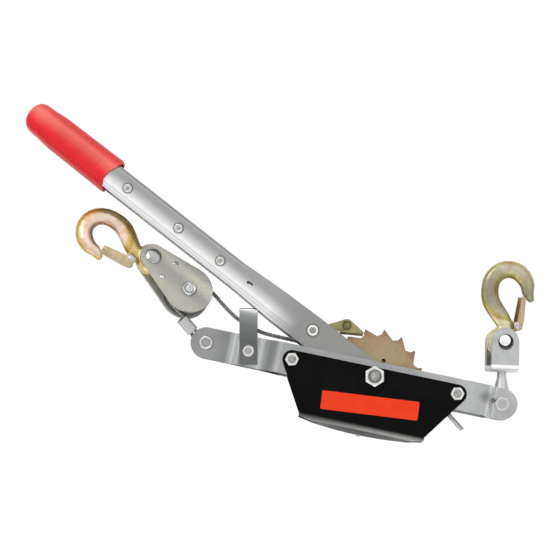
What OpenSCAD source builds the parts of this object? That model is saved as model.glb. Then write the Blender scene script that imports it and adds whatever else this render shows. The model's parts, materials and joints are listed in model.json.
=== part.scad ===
// Hand ratchet winch (come-along): a lever-driven rope drum between two joggled side plates,
// with a swivel anchor hook at one end and a pulley block with a load hook on the rope.
// Millimetres. The drum axle is the Z axis, +X runs along the side plates to the anchor hook,
// and the winch lies on its side with the axle bolt's head on the plane z = 0.

/* [Side plates] */
// Distance from the drum axle to the rope-end rivet
rope_end_x = 172; // [165:1:180]
// Distance from the drum axle to the anchor bolt
anchor_x = 130.5; // [128:0.5:145]
// Width of a side plate
plate_w = 31; // [29:0.5:34]
// Thickness of a side plate
plate_t = 4; // [3:0.5:5]
// Half gap between the plates at the rope end
rope_end_gap = 4; // [3.6:0.1:5]
// Half gap between the plates at the handle rest
rest_gap = 9; // [8:0.5:11]
// Half gap between the plates at the anchor bolt
anchor_gap = 8.5; // [8:0.5:10]

/* [Drum] */
// Free width of the rope drum between the ratchet wheels
drum_w = 23; // [22:0.5:26]
// Outer radius of the drum barrel
barrel_r = 9; // [8:0.5:11]
// Thickness of a ratchet wheel
wheel_t = 5; // [4:0.5:6]
// Tip radius of a ratchet wheel
wheel_r = 48.5; // [47.5:0.5:49]
// Number of ratchet teeth
teeth = 16; // [16:1:16]
// Depth of a tooth
tooth_h = 7.3; // [6.5:0.1:7.6]
// Radius of the axle bolt's shank
axle_r = 6; // [5:0.25:6.5]

/* [Guard] */
// Distance from the axle to each guard bolt
guard_bolt_x = 84; // [82:0.5:86]
// Sheet thickness of the guard
guard_t = 1.5; // [1:0.25:2]
// Depth of the guard's side sheets below the axle
guard_drop = 50.5; // [50:0.5:54]
// Half length of the guard's bottom fold
guard_foot = 63.5; // [60:0.5:66]
// Bulge of the guard's bottom below its folds
guard_bulge = 8.5; // [7:0.5:11]
// Radius of a guard bolt's shank
guard_bolt_r = 4; // [3:0.25:4.5]

/* [Handle] */
// Length of the steel channel beyond the axle
handle_len = 423; // [403:2:463]
// Width of the channel across its side faces
handle_w = 27; // [25:0.5:29]
// Sheet thickness of the channel
handle_t = 3; // [2.5:0.25:3.5]
// Angle of the parked handle above the rope end
handle_park = 26.4; // [25.2:0.1:27.4]
// Length of the moulded grip
grip_len = 101; // [80:1:120]
// Width of the grip at its mouth
grip_w = 37; // [34:0.5:40]
// Depth of the grip at its mouth
grip_d = 47; // [46:0.5:50]
// Distance from the axle to the drive pawl's pin
pawl_pin_u = 77; // [76:0.5:78]

/* [Handle rest] */
// Width of the rest strap
rest_w = 18; // [14:0.5:22]
// Distance from the drum axle to the rest's rivet
rest_x = 128.5; // [127.5:0.5:130]

/* [Rope] */
// Diameter of the wire rope
rope_d = 4; // [3.6:0.1:4.2]
// Radius of the outer rope layer's centre line
layer_r = 17.5; // [17:0.1:17.8]
// Step from one wound turn to the next
wind_step = 4.5; // [4.45:0.05:4.5]

/* [Pulley block] */
// Radius of the rope's centre line round the sheave
sheave_rope_r = 20.5; // [20:0.25:21]
// Distance from the sheave pin to the hook rivet
block_len = 48.5; // [46.5:0.5:55]
// Thickness of a block plate
block_t = 3; // [2:0.25:4]
// Half gap between the block plates
block_gap = 6.7; // [6.6:0.1:7.2]
// Roll of the lying block about its long axis
block_roll = 25; // [23:0.5:27]

/* [Hooks] */
// Radius of the hook's centre line round the bowl
bowl_r = 20.5; // [20.25:0.25:20.75]
// Distance from the eye to the middle of the bowl
bowl_y = 54; // [53.5:0.25:54.5]
// Radius of the hook's eye
eye_r = 16; // [15:0.25:16.2]
// Thickness of the hook's eye
eye_t = 12.6; // [12:0.2:12.8]
// Radius of the hook's rivet
hook_pin_r = 6; // [5:0.25:6.5]
// Width of the safety latch
latch_w = 12.4; // [12:0.1:12.6]
// Turn of the anchor clevis about its swivel
clevis_turn = 17; // [0:1:45]
// Width of the anchor clevis
clevis_w = 29; // [26:0.5:31]

/* [Hidden] */
$fn = 64;

// clearances
run_gap = 0.05;
seat_gap = 0.3;
side_gap = 0.5;

// stack of the frame, outwards from the middle plane
drum_half = drum_w / 2;
wheel_half = drum_half + wheel_t;
flange_in = wheel_half + side_gap;
handle_half = flange_in + handle_t;
plate_in = handle_half + side_gap;
plate_out = plate_in + plate_t;
guard_half = plate_out + guard_t;
axle_head_h = 7.5;
mid_z = guard_half + axle_head_h;

// fastener sizes
axle_af = 3 * axle_r;
axle_nut_h = 7.5;
bolt_end = 1.8;
guard_af = 3 * guard_bolt_r;
guard_head_h = 5.3;
guard_nut_h = 6;
anchor_bolt_r = 4.5;
anchor_af = 13;
rivet_r = 5;

// bottom of the guard: set towards the rope end, with a short lip at each end
guard_shift = -2.8;
guard_lip = 3.5;

// teeth: the steep faces look anticlockwise, the long backs fall away clockwise
pitch_a = 360 / teeth;
steep_a = 1.5;
floor_a = 7.5;
root_r = wheel_r - tooth_h;

// handle direction and pawl place, in the handle's own axes (x outwards, y towards the frame)
handle_a = 180 - handle_park;
handle_off = 3.8;
pawl_pin_off = 1.4;
web_start = 131;
grip_mouth = handle_len + 12 - grip_len;
drive_pin_r = 4;

// rope
rope_r = rope_d / 2;
lead_r = layer_r + rope_d + seat_gap;
core_r = layer_r - rope_r - 0.2;

// pulley block on the rope's bight
sheave_at = [-202, 46, 0];
block_a = 149;
block_plate_r = 25;
hook_end_r = 13.5;
sheave_half = block_gap - side_gap;
load_hook_a = 15;

// anchor swivel
stud_a = 10.5;
web_y = 33;
clevis_t = 4;
clevis_gap = eye_t / 2 + seat_gap;
clevis_eye_y = 62.5;
shank_r = 4.6;
anchor_hook_a = -5;

// ---------- small helpers ----------

module lifted() { translate([0, 0, mid_z]) children(); }

// a disc or bar centred on z = 0
module slab(half) { translate([0, 0, -half]) linear_extrude(2 * half) children(); }

module slab_between(low, high) { translate([0, 0, low]) linear_extrude(high - low) children(); }

module both_sides() { children(); mirror([0, 0, 1]) children(); }

module hexagon(af) { circle(d = af / cos(30), $fn = 6); }

function unit(v) = v / norm(v);

function turn_z(a, p) = [p.x * cos(a) - p.y * sin(a), p.x * sin(a) + p.y * cos(a), p.z];

function turn_x(a, p) = [p.x, p.y * cos(a) - p.z * sin(a), p.y * sin(a) + p.z * cos(a)];

function polar(r, a) = [r * cos(a), r * sin(a)];

function tangent(path, i) =
    unit(path[min(i + 1, len(path) - 1)] - path[max(i - 1, 0)]);

// rounded four-point curve through each pair of route points
function curve_point(a, b, c, d, t) =
    0.5 * (2 * b + (c - a) * t + (2 * a - 5 * b + 4 * c - d) * t * t
           + (3 * b - a - 3 * c + d) * t * t * t);

function smooth(route, steps) = concat(
    [for (i = [0:len(route) - 2]) for (s = [0:steps - 1])
        curve_point(route[max(i - 1, 0)], route[i], route[i + 1],
                    route[min(i + 2, len(route) - 1)], s / steps)],
    [route[len(route) - 1]]);

// solid swept along a path: rings of half width w (in the path's plane) and half thickness t
function ring(path, i, w, t, sides) =
    let (along = tangent(path, i), side = unit(cross([0, 0, 1], along)), up = cross(along, side))
    [for (j = [0:sides - 1])
        path[i] + side * w * cos(360 * j / sides) + up * t * sin(360 * j / sides)];

module sweep(path, w, t, sides) {
    last = len(path) - 1;
    rings = [for (i = [0:last]) each ring(path, i, w[i], t[i], sides)];
    walls = [for (i = [0:last - 1]) for (j = [0:sides - 1])
        let (a = i * sides + j, b = i * sides + (j + 1) % sides)
        each [[a, a + sides, b + sides], [a, b + sides, b]]];
    caps = [for (j = [1:sides - 2])
        each [[0, j, j + 1], [last * sides, last * sides + j + 1, last * sides + j]]];
    polyhedron(points = rings, faces = concat(walls, caps));
}

module tube(path, r, sides) {
    radii = [for (p = path) r];
    sweep(path, radii, radii, sides);
}

// helix of round wire about the Z axis, centred on z = 0
function helix(r, step, turns, per_turn, start) =
    [for (i = [0:turns * per_turn])
        [r * cos(start + 360 * i / per_turn), r * sin(start + 360 * i / per_turn),
         step * (i / per_turn - turns / 2)]];

// rivet or bolt shank with domed or flat heads, centred on z = 0
module domed_rivet(r, half, head_r, head_h) {
    cylinder(r = r, h = 2 * half, center = true);
    both_sides() translate([0, 0, half]) {
        cylinder(r = head_r, h = head_h * 0.45);
        translate([0, 0, head_h * 0.45]) cylinder(r1 = head_r, r2 = head_r * 0.62, h = head_h * 0.55);
    }
}

module nut(r, af, h) {
    difference() {
        intersection() {
            linear_extrude(h) hexagon(af);
            union() {
                cylinder(r = af * 0.58, h = h - 1);
                translate([0, 0, h - 1]) cylinder(r1 = af * 0.58, r2 = af * 0.5, h = 1);
            }
        }
        translate([0, 0, -1]) cylinder(r = r, h = h + 2);
    }
}

module bolt_head(af, h) {
    intersection() {
        linear_extrude(h) hexagon(af);
        union() {
            cylinder(r = af * 0.58, h = h - 1);
            translate([0, 0, h - 1]) cylinder(r1 = af * 0.58, r2 = af * 0.5, h = 1);
        }
    }
}

// bolt through the frame: head below, threaded end above
module hex_bolt(r, af, head_h, low, high) {
    translate([0, 0, low]) cylinder(r = r, h = high - 1 - low);
    translate([0, 0, high - 1]) cylinder(r1 = r, r2 = r - 0.8, h = 1);
    translate([0, 0, low]) mirror([0, 0, 1]) bolt_head(af, head_h);
}

// ---------- side plates ----------

joggles = [[-rope_end_x - plate_w, rope_end_gap], [-rope_end_x + 27, rope_end_gap],
           [-rope_end_x + 36, rest_gap], [-rest_x + 14, rest_gap],
           [-guard_bolt_x - 9, plate_in], [guard_bolt_x + 29, plate_in],
           [anchor_x - 10.5, anchor_gap], [anchor_x + plate_w, anchor_gap]];

// inner face of a plate: flats joined by eased slopes
joggle_steps = 8;
function eased(a, b, t) = a + (b - a) * (1 - cos(180 * t)) / 2;
// a line lifted by a plate's thickness moves sideways at each slope, so that the wall stays even
function plate_line(lift) = [
    for (i = [0:2:len(joggles) - 1]) each concat(
        i == 0 ? [joggles[0] + [0, lift]] : [],
        i + 2 < len(joggles)
            ? [for (s = [0:joggle_steps])
                let (t = s / joggle_steps, a = joggles[i + 1], b = joggles[i + 2],
                     shift = -lift * tan(atan2(b[1] - a[1], b[0] - a[0]) / 2))
                [a[0] + (b[0] - a[0]) * t + shift, eased(a[1], b[1], t) + lift]]
            : [joggles[len(joggles) - 1] + [0, lift]])];

module plate_section() {
    inner = plate_line(0);
    outer = plate_line(plate_t);
    polygon(concat(inner, [for (i = [len(outer) - 1:-1:0]) outer[i]]));
}

module side_plate() {
    difference() {
        intersection() {
            rotate([90, 0, 0]) linear_extrude(plate_w + 6, center = true) plate_section();
            linear_extrude(plate_out + 1) union() {
                translate([-rope_end_x, 0]) circle(d = plate_w);
                translate([anchor_x, 0]) circle(d = plate_w);
                translate([-rope_end_x, -plate_w / 2]) square([rope_end_x + anchor_x, plate_w]);
            }
        }
        cylinder(r = axle_r + run_gap, h = 2 * plate_out);
        for (side = [-1, 1])
            translate([side * guard_bolt_x, 0, 0]) cylinder(r = guard_bolt_r + run_gap, h = 2 * plate_out);
        translate([-rope_end_x, 0, 0]) cylinder(r = rivet_r + run_gap, h = 2 * plate_out);
        translate([-rest_x, 0, 0]) cylinder(r = rest_rivet_r + run_gap, h = 2 * plate_out);
        translate([anchor_x, 0, 0]) cylinder(r = anchor_bolt_r + run_gap, h = 2 * plate_out);
    }
}

module front_side_plate() { color("silver") lifted() side_plate(); }

module rear_side_plate() { color("silver") lifted() mirror([0, 0, 1]) side_plate(); }

// ---------- guard ----------

keel_steps = 12;
// side view of the bottom: a lip at each end, and between the lips an arc that drops on to the full sag
function keel(half, lip, sag, top) =
    let (rise = sag - lip, r = (half * half + rise * rise) / (2 * rise), a = asin(half / r))
    concat([[half, top], [-half, top]],
           [for (i = [0:keel_steps])
               let (t = -a + 2 * a * i / keel_steps) [r * sin(t), top + r - sag - r * cos(t)]]);

// trough: flat sides, and a bottom that bulges down most along its middle
module trough(inset, reach) {
    half = guard_half - inset;
    base = -guard_drop + inset;
    foot = guard_foot + reach;
    translate([guard_shift, 0, 0]) hull() {
        slab(half) translate([-foot, base]) square([2 * foot, 1]);
        slab(half - 6) polygon(keel(foot, guard_lip * 0.68, guard_bulge * 0.68, base));
        slab(half - 15) polygon(keel(foot, guard_lip, guard_bulge, base));
    }
}

module guard_outline() {
    hull() {
        for (side = [-1, 1]) {
            translate([side * guard_bolt_x, 0]) circle(r = 9.5, $fn = 32);
            translate([guard_shift + side * (guard_foot - 2), -guard_drop + 2]) circle(r = 2, $fn = 32);
        }
    }
}

module drum_guard() {
    color("black") lifted() difference() {
        union() {
            slab(guard_half) guard_outline();
            trough(0, 0);
        }
        trough(guard_t, 40);
        slab(plate_out) translate([-120, -guard_drop + guard_t]) square([240, 80]);
        cylinder(r = axle_r + run_gap, h = 3 * guard_half, center = true);
        for (side = [-1, 1])
            translate([side * guard_bolt_x, 0, 0])
                cylinder(r = guard_bolt_r + run_gap, h = 3 * guard_half, center = true);
        translate([guard_rivet_x, -guard_drop, 0]) rotate([90, 0, 0])
            cylinder(r = guard_rivet_r + run_gap, h = 20, center = true);
    }
}

guard_rivet_x = -4;
guard_rivet_r = 1.6;

// blind rivet through the guard's bottom
module guard_rivet() {
    low = -guard_drop - guard_bulge;
    color("dimgray") lifted() translate([guard_rivet_x, low, 0]) rotate([90, 0, 0]) {
        translate([0, 0, -guard_t - 0.8]) cylinder(r = guard_rivet_r, h = guard_t + 0.9);
        translate([0, 0, 0]) cylinder(r1 = 3.4, r2 = 2, h = 1.6);
        translate([0, 0, -guard_t - 2]) cylinder(r = 2.4, h = 1.6);
    }
}

// ---------- frame fasteners ----------

module axle_bolt() {
    color("gainsboro") lifted()
        hex_bolt(axle_r, axle_af, axle_head_h, -guard_half, guard_half + axle_nut_h + bolt_end);
}

module axle_nut() {
    color("gainsboro") lifted() translate([0, 0, guard_half]) rotate([0, 0, -18])
        nut(axle_r + run_gap, axle_af, axle_nut_h);
}

module guard_bolts() {
    color("gainsboro") lifted() for (side = [-1, 1]) translate([side * guard_bolt_x, 0, 0])
        hex_bolt(guard_bolt_r, guard_af, guard_head_h, -guard_half, guard_half + guard_nut_h + 1);
}

module guard_nuts() {
    color("gainsboro") lifted() for (side = [-1, 1]) translate([side * guard_bolt_x, 0, guard_half])
        rotate([0, 0, 15]) nut(guard_bolt_r + run_gap, guard_af, guard_nut_h);
}

// sleeve that holds the plates apart at the rope end of the guard
module frame_spacer() {
    color("silver") lifted() translate([-guard_bolt_x, 0, 0]) difference() {
        cylinder(r = guard_bolt_r + 2.5, h = 2 * plate_in, center = true);
        cylinder(r = guard_bolt_r + run_gap, h = 3 * plate_in, center = true);
    }
}

module rope_end_rivet() {
    color("gainsboro") lifted() translate([-rope_end_x, 0, 0])
        domed_rivet(rivet_r, rope_end_gap + plate_t, 7.6, 2.6);
}

// grooved bush that the rope's eye lies round
module rope_end_bush() {
    color("silver") lifted() translate([-rope_end_x, 0, 0]) rotate_extrude() difference() {
        translate([rivet_r + run_gap, -rope_end_gap + 0.1])
            square([3.2, 2 * rope_end_gap - 0.2]);
        translate([eye_loop_r, 0]) circle(r = rope_r + 0.4);
    }
}

rest_rivet_r = 4;
rest_t = 2.5;
rest_lean = 11.8;
// the top corner of the rest lies just under the parked handle's web
rest_h = (rest_x * sin(handle_a) - rest_w / 2 * sin(handle_a - rest_lean)
          - handle_off - handle_w / 2 - seat_gap) / -cos(handle_a - rest_lean);

// stirrup over the rope that the parked handle lies on
module handle_rest() {
    out = rest_gap + plate_t + rest_t;
    color("dimgray") lifted() translate([-rest_x, 0, 0]) rotate([0, 0, rest_lean]) difference() {
        union() {
            both_sides() slab_between(out - rest_t, out) union() {
                translate([-rest_w / 2, -13.5]) square([rest_w, rest_h - 2.5 + 13.5]);
            }
            slab(out - rest_t) translate([-rest_w / 2, rest_h - rest_t]) square([rest_w, rest_t]);
            both_sides() translate([0, rest_h - rest_t, out - rest_t]) rotate([0, 90, 0])
                intersection() {
                    cylinder(r = rest_t, h = rest_w, center = true);
                    translate([-rest_t, 0, -rest_w]) cube([rest_t, rest_t, 2 * rest_w]);
                }
        }
        cylinder(r = rest_rivet_r + run_gap, h = 4 * out, center = true);
    }
}

module rest_rivet() {
    color("gainsboro") lifted() translate([-rest_x, 0, 0])
        domed_rivet(rest_rivet_r, rest_gap + plate_t + rest_t, 6.4, 2.8);
}

module anchor_bolt() {
    out = anchor_gap + plate_t;
    color("gainsboro") lifted() translate([anchor_x, 0, 0]) mirror([0, 0, 1])
        hex_bolt(anchor_bolt_r, anchor_af, 5, -out, out + 6 + 1);
}

module anchor_nut() {
    color("gainsboro") lifted() translate([anchor_x, 0, 0]) mirror([0, 0, 1])
        translate([0, 0, anchor_gap + plate_t]) nut(anchor_bolt_r + run_gap, anchor_af, 6);
}

// ---------- drum ----------

module drum_barrel() {
    color("silver") lifted() difference() {
        cylinder(r = barrel_r, h = drum_w, center = true);
        cylinder(r = axle_r + run_gap, h = 2 * drum_w, center = true);
    }
}

function tooth(k) = [
    polar(wheel_r, k * pitch_a),
    polar(wheel_r - 0.62 * tooth_h, k * pitch_a + steep_a),
    polar(root_r, k * pitch_a + floor_a),
    polar(wheel_r - 0.3, (k + 1) * pitch_a - 1.3)];

module ratchet_wheel() {
    difference() {
        linear_extrude(wheel_t) polygon([for (k = [0:teeth - 1]) each tooth(k)]);
        translate([0, 0, -1]) cylinder(r = axle_r + run_gap, h = wheel_t + 2);
        rotate([0, 0, 72]) translate([core_r + 3.3, 0, -1]) cylinder(r = rope_r + 0.3, h = wheel_t + 2);
    }
}

module front_ratchet_wheel() {
    color("burlywood") lifted() translate([0, 0, drum_half]) ratchet_wheel();
}

module rear_ratchet_wheel() {
    color("burlywood") lifted() translate([0, 0, -wheel_half]) ratchet_wheel();
}

// inner layers of wound rope
module rope_core() {
    color("gray") lifted() difference() {
        cylinder(r = core_r, h = drum_w - 0.4, center = true);
        cylinder(r = barrel_r + run_gap, h = 2 * drum_w, center = true);
    }
}

// outer layer of wound rope
wind_turns = floor((drum_w - rope_d - 0.8) / wind_step);
wind_gap = wind_step - rope_d;
echo(wind_turns = wind_turns, wind_gap = wind_gap);

module rope_winding() {
    color("gray") lifted() tube(helix(layer_r, wind_step, wind_turns, 24, 90), rope_r, 6);
}

// ---------- rope between drum, sheave and rope end ----------

eye_loop_r = 7.9;
strand = 2.35;
ferrule_near = 17;
ferrule_len = 18;

function on_block(p) = sheave_at + turn_z(block_a, turn_x(block_roll, p));

// the lead lies over the wound rope, from under the drum up to its tangent at the top
lead_wrap = [for (a = [-100:20:80]) [lead_r * cos(a), lead_r * sin(a), -1 + a / 100]];
// free stretch from the drum to the block
lead_route = [[-18, lead_r, 0], [-50, 21.4, 0], [-79, 20.8, 0], [-92, 21, 0], [-107, 21.2, 0],
              [-123, 22.8, -1], [-145, 30.3, -3.5], [-160, 39.3, -5.5], [-174, 49.8, -7.5]];
bight_start = -100;
bight_end = 83.5;
bight_steps = 14;
bight = [for (i = [0:bight_steps])
    let (a = bight_start + (bight_end - bight_start) * i / bight_steps)
    on_block([sheave_rope_r * cos(a), sheave_rope_r * sin(a), 0])];

// straight line of the dead end, from the block down to the rope-end rivet
dead_start = bight[bight_steps];
dead_dir = unit([-rope_end_x - dead_start.x, -dead_start.y, 0]);
dead_side = [-dead_dir.y, dead_dir.x, 0];
function dead_at(back, side, z) = [-rope_end_x, 0, 0] - dead_dir * back + dead_side * side + [0, 0, z];
dead_a = atan2(dead_dir.y, dead_dir.x);
ferrule_far = ferrule_near + ferrule_len;
far_z = 8;
near_z = 2;
eye_loop = [for (a = [90:-20:-90]) [-rope_end_x, 0, 0] + eye_loop_r * [cos(dead_a + a), sin(dead_a + a), 0]];
dead_route = concat(
    [dead_at(ferrule_far, 0, far_z), dead_at(ferrule_near, 0, near_z), dead_at(8.5, 5, 0.2)],
    eye_loop,
    [dead_at(8.5, -7.4, 0.2), dead_at(ferrule_near, -2 * strand, near_z),
     dead_at(ferrule_far, -2 * strand, far_z)]);

rope_path = concat(lead_wrap, smooth(lead_route, 2), bight, dead_route);

module wire_rope() { color("gray") lifted() tube(rope_path, rope_r, 8); }

module rope_ferrule() {
    a = dead_at(ferrule_far, -strand, far_z);
    b = dead_at(ferrule_near, -strand, near_z);
    axis = b - a;
    color("lightgray") lifted() translate(a)
        rotate([0, acos(axis.z / norm(axis)), atan2(axis.y, axis.x)])
        difference() {
            translate([0, 0, 1]) linear_extrude(norm(axis) - 2) union() {
                square([7.2, 2 * strand], center = true);
                for (side = [-1, 1]) translate([0, side * strand]) circle(r = 3.6);
            }
            for (side = [-1, 1]) translate([0, side * strand, -1])
                cylinder(r = rope_r + 0.1, h = norm(axis) + 2);
        }
}

// ---------- handle ----------

module on_handle() { lifted() rotate([0, 0, handle_a]) children(); }

module channel_section(half_w, half_d, corner) {
    hull_w = half_w - corner;
    translate([-half_d, -half_w]) square([2 * half_d, half_w + hull_w]);
    translate([-half_d + corner, -half_w]) square([2 * (half_d - corner), 2 * half_w]);
    for (side = [-1, 1]) translate([side * (half_d - corner), hull_w]) circle(r = corner);
}

module on_channel() { on_handle() translate([0, handle_off, 0]) children(); }

// side wall of the channel: wider near the drum, and round about the axle
module handle_wall() {
    half_w = handle_w / 2;
    circle(r = 13.5);
    polygon([[0, -13.4], [75, -13.2], [120, handle_off - half_w - 2.5], [web_start + 37, handle_off - half_w],
             [web_start + 37, handle_off + half_w], [120, handle_off + half_w + 1.9], [75, 19], [40, 17.4],
             [0, 13.4]]);
}

// channel whose open side faces the frame; the web stops short of the drum
module handle_channel() {
    half_w = handle_w / 2;
    color("silver") on_handle() difference() {
        union() {
            both_sides() slab_between(flange_in, handle_half) handle_wall();
            translate([web_start, handle_off, 0]) rotate([90, 0, 90]) linear_extrude(handle_len - web_start)
                rotate([0, 0, 90]) channel_section(half_w, handle_half, 4);
        }
        translate([web_start - 1, handle_off, 0]) rotate([90, 0, 90]) linear_extrude(handle_len)
            rotate([0, 0, 90]) translate([-flange_in, -half_w - 1]) square([2 * flange_in, handle_w - handle_t + 1]);
        cylinder(r = axle_r + run_gap, h = 3 * handle_half, center = true);
        translate([pawl_pin_u, pawl_pin_off, 0])
            cylinder(r = drive_pin_r + run_gap, h = 3 * handle_half, center = true);
        for (u = handle_rivet_u) translate([u, handle_off, 0])
            cylinder(r = handle_rivet_r + run_gap, h = 3 * handle_half, center = true);
        slab(2 * handle_half) translate([153.7, handle_off - 0.6]) {
            circle(r = 1.6, $fn = 24);
            translate([0, -1.6]) square([3.8, 3.2]);
            translate([3.8, 0]) circle(r = 1.6, $fn = 24);
        }
    }
}

// two rivets behind the web's start, and one close to the grip's mouth
handle_rivet_u = [web_start + 62, web_start + 115.3, grip_mouth - 22.7];
handle_rivet_r = 3;

module handle_rivets() {
    color("gainsboro") on_channel() for (u = handle_rivet_u) translate([u, 0, 0])
        domed_rivet(handle_rivet_r, handle_half, 4.7, 1.8);
}

// rounded slice of the grip at distance u
module grip_slice(u, w, d, thick) {
    corner = w * 0.2;
    translate([u, 0, 0]) rotate([90, 0, 90]) linear_extrude(thick) hull()
        for (x = [-1, 1]) for (y = [-1, 1])
            translate([x * (w / 2 - corner), y * (d / 2 - corner)]) circle(r = corner, $fn = 32);
}

module handle_grip() {
    mouth = grip_mouth;
    color("red") on_channel() difference() {
        hull() {
            grip_slice(mouth, grip_w, grip_d, 3);
            grip_slice(mouth + grip_len * 0.7, grip_w - 1.8, grip_d - 1.8, 2);
            grip_slice(mouth + grip_len - 10, grip_w - 4.4, grip_d - 4.4, 2);
            grip_slice(mouth + grip_len - 4, grip_w - 9, grip_d - 9, 1);
            grip_slice(mouth + grip_len - 1, grip_w - 15, grip_d - 15, 1);
        }
        translate([mouth - 1, 0, 0]) rotate([90, 0, 90]) linear_extrude(grip_len - 11 + seat_gap)
            square([handle_w + 0.2, 2 * handle_half + 0.2], center = true);
    }
}

module drive_pawl_pin() {
    color("gainsboro") on_handle() translate([pawl_pin_u, pawl_pin_off, 0])
        domed_rivet(drive_pin_r, handle_half, 6, 2.2);
}

// ---------- drive pawl ----------

pawl_half = wheel_half - 0.2;
pawl_in = drum_half + 0.4;
drive_hub = polar(pawl_pin_u, handle_a) + polar(pawl_pin_off, handle_a + 90);
drive_tooth = 5 * pitch_a;
drive_tip = polar(wheel_r - 2, drive_tooth + 2.3);
drive_heel = polar(wheel_r - 3.9, drive_tooth + 3.2);
drive_boss = polar(wheel_r + 10, 129.5);
drive_tube_r = 5.8;

module drive_cheek() {
    translate(drive_hub) circle(r = 9);
    polygon([drive_hub + [-1, 8.9], drive_boss + [-18.2, -2.5], drive_boss + [-2.1, 6.3],
             drive_boss + [1.4, 6.6], drive_tip, drive_heel, drive_boss + [-4.7, -7.5], drive_hub + [4, -8]]);
}

// twin hooked cheeks over both wheels, joined by a bridge and a tube round the pin
module drive_pawl() {
    color("burlywood") lifted() difference() {
        union() {
            both_sides() slab_between(pawl_in, pawl_half) drive_cheek();
            slab(pawl_in + 0.1) translate(drive_boss)
                polygon([[-19.8, -4.1], [-2.1, 6.3], [1.4, 6.6], [7.2, 1.9], [-3.8, -2.6], [-14.8, -7.6]]);
            translate(drive_hub) cylinder(r = drive_tube_r, h = 2 * pawl_half, center = true);
            translate(drive_boss) cylinder(r = 4.6, h = 2 * pawl_half + 1.6, center = true);
        }
        translate(drive_hub) cylinder(r = drive_pin_r + run_gap, h = 4 * pawl_half, center = true);
        both_sides() translate([drive_boss.x, drive_boss.y, pawl_half + 0.2]) cylinder(r = 3, h = 2);
    }
}

spring_wire = 0.7;

module drive_pawl_spring() {
    color("dimgray") lifted() translate(drive_hub)
        tube(helix(drive_tube_r + spring_wire + 0.15, 1.8, 5, 16, 0), spring_wire, 6);
}

// ---------- stop pawl ----------

stop_hub = [guard_bolt_x, 0];
stop_tube_r = 7.2;
stop_tip = polar(wheel_r + 0.45, -55.5);
stop_toe = polar(wheel_r + 5.5, -56.5);
stop_crook = polar(wheel_r + 6.9, -43);

module stop_cheek() {
    translate(stop_hub) circle(r = 9);
    polygon([stop_hub + [-6, -6], [54, -25.5], stop_crook, stop_tip, stop_toe, [50, -41.5], [70, -28],
             stop_hub + [6, -6]]);
}

// pawl that holds the drum; its thumb lever stands out past the guard
module stop_pawl() {
    color("gray") lifted() difference() {
        union() {
            both_sides() slab_between(pawl_in, pawl_half) stop_cheek();
            slab(pawl_in + 0.1) polygon([stop_hub + [-10, -6.5], [54, -27], [46, -36], [52, -40.5],
                                         [69, -28], stop_hub + [-2, -12]]);
            translate(stop_hub) cylinder(r = stop_tube_r, h = 2 * plate_in - 2 * seat_gap, center = true);
            tube([for (p = [[-10, -9], [-2, -21.5], [12.5, -32.3], [13.1, -32.8]])
                [stop_hub.x + p.x, p.y, 0]], 2.25, 24);
        }
        translate(stop_hub) cylinder(r = guard_bolt_r + run_gap, h = 3 * plate_in, center = true);
    }
}

module stop_pawl_spring() {
    color("dimgray") lifted() translate(stop_hub)
        tube(helix(stop_tube_r + spring_wire + 0.15, 1.8, 5, 16, 0), spring_wire, 6);
}

// ---------- forged hook, eye at the origin, bowl towards +Y, latch on the +X side ----------

bowl_at = [1.8, bowl_y];
latch_at = [12, 18.5];
latch_t = 1.5;

hook_line = concat(
    smooth([[0, 9, 0], [0.5, 19, 0], [-8.5, 30, 0], [-15, 38, 0], [-18.1, 46, 0],
            [bowl_at.x - bowl_r, bowl_y, 0]], 2),
    [for (a = [165:-15:0]) [bowl_at.x + bowl_r * cos(a), bowl_at.y + bowl_r * sin(a), 0]],
    [[bowl_at.x + bowl_r + 1.6, bowl_y - 3.4, 0], [bowl_at.x + bowl_r + 3.6, bowl_y - 6.4, 0],
     [bowl_at.x + bowl_r + 5.2, bowl_y - 8.8, 0]]);

// half widths and half thicknesses along the hook, eased from the eye over the bowl to the tip
hook_halves = [[0, 8.2, 0.48], [2, 8.6, 0.46], [4, 9.2, 0.46], [6, 9.4, 0.48], [8, 9.3, 0.5], [10, 9, 0.5],
               [19, 8.8, 0.5], [20, 8.2, 0.5], [21, 7.4, 0.48], [22, 6.3, 0.44], [23, 5.2, 0.4],
               [24, 3.9, 0.34], [25, 2.2, 0.24]];

function hook_half(i, k) = lookup(i, [for (h = hook_halves) [h[0], h[k]]]);

module forged_hook() {
    n = len(hook_line) - 1;
    difference() {
        union() {
            rotate_extrude() polygon([[hook_pin_r - 1, -eye_t / 2], [eye_r - 2, -eye_t / 2],
                                      [eye_r, -eye_t / 2 + 3], [eye_r, eye_t / 2 - 3],
                                      [eye_r - 2, eye_t / 2], [hook_pin_r - 1, eye_t / 2]]);
            sweep(hook_line, [for (i = [0:n]) hook_half(i, 1)], [for (i = [0:n]) eye_t * hook_half(i, 2)], 20);
            slab(lug_half) {
                translate(latch_at) circle(r = 4.2);
                polygon([[4, 12], latch_at + [1.2, -4.05], latch_at + [-0.8, 4.1], [3, 24]]);
            }
        }
        cylinder(r = hook_pin_r + run_gap, h = 2 * eye_t, center = true);
        translate(latch_at) cylinder(r = latch_pin_r + run_gap, h = 2 * eye_t, center = true);
    }
}

lug_half = 2.6;
latch_pin_r = 2;
latch_line = [[12, 23], [14.6, bowl_y - 5.5], [18.6, bowl_y - 6], [18.8, 24], [17.5, 15.5], [14.5, 13],
              [9, 15.5]];

// folded sheet latch that closes the bowl: two cheeks and a back that faces outwards
module folded_latch() {
    difference() {
        slab(latch_w / 2) polygon(latch_line);
        slab(latch_w / 2 - latch_t) polygon([[5, 10], [15, 10], [16.1, 16], [17.3, 24],
                                             [18.6 - latch_t, bowl_y], [5, bowl_y]]);
        translate(latch_at) cylinder(r = latch_pin_r + run_gap, h = 2 * latch_w, center = true);
    }
}

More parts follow.
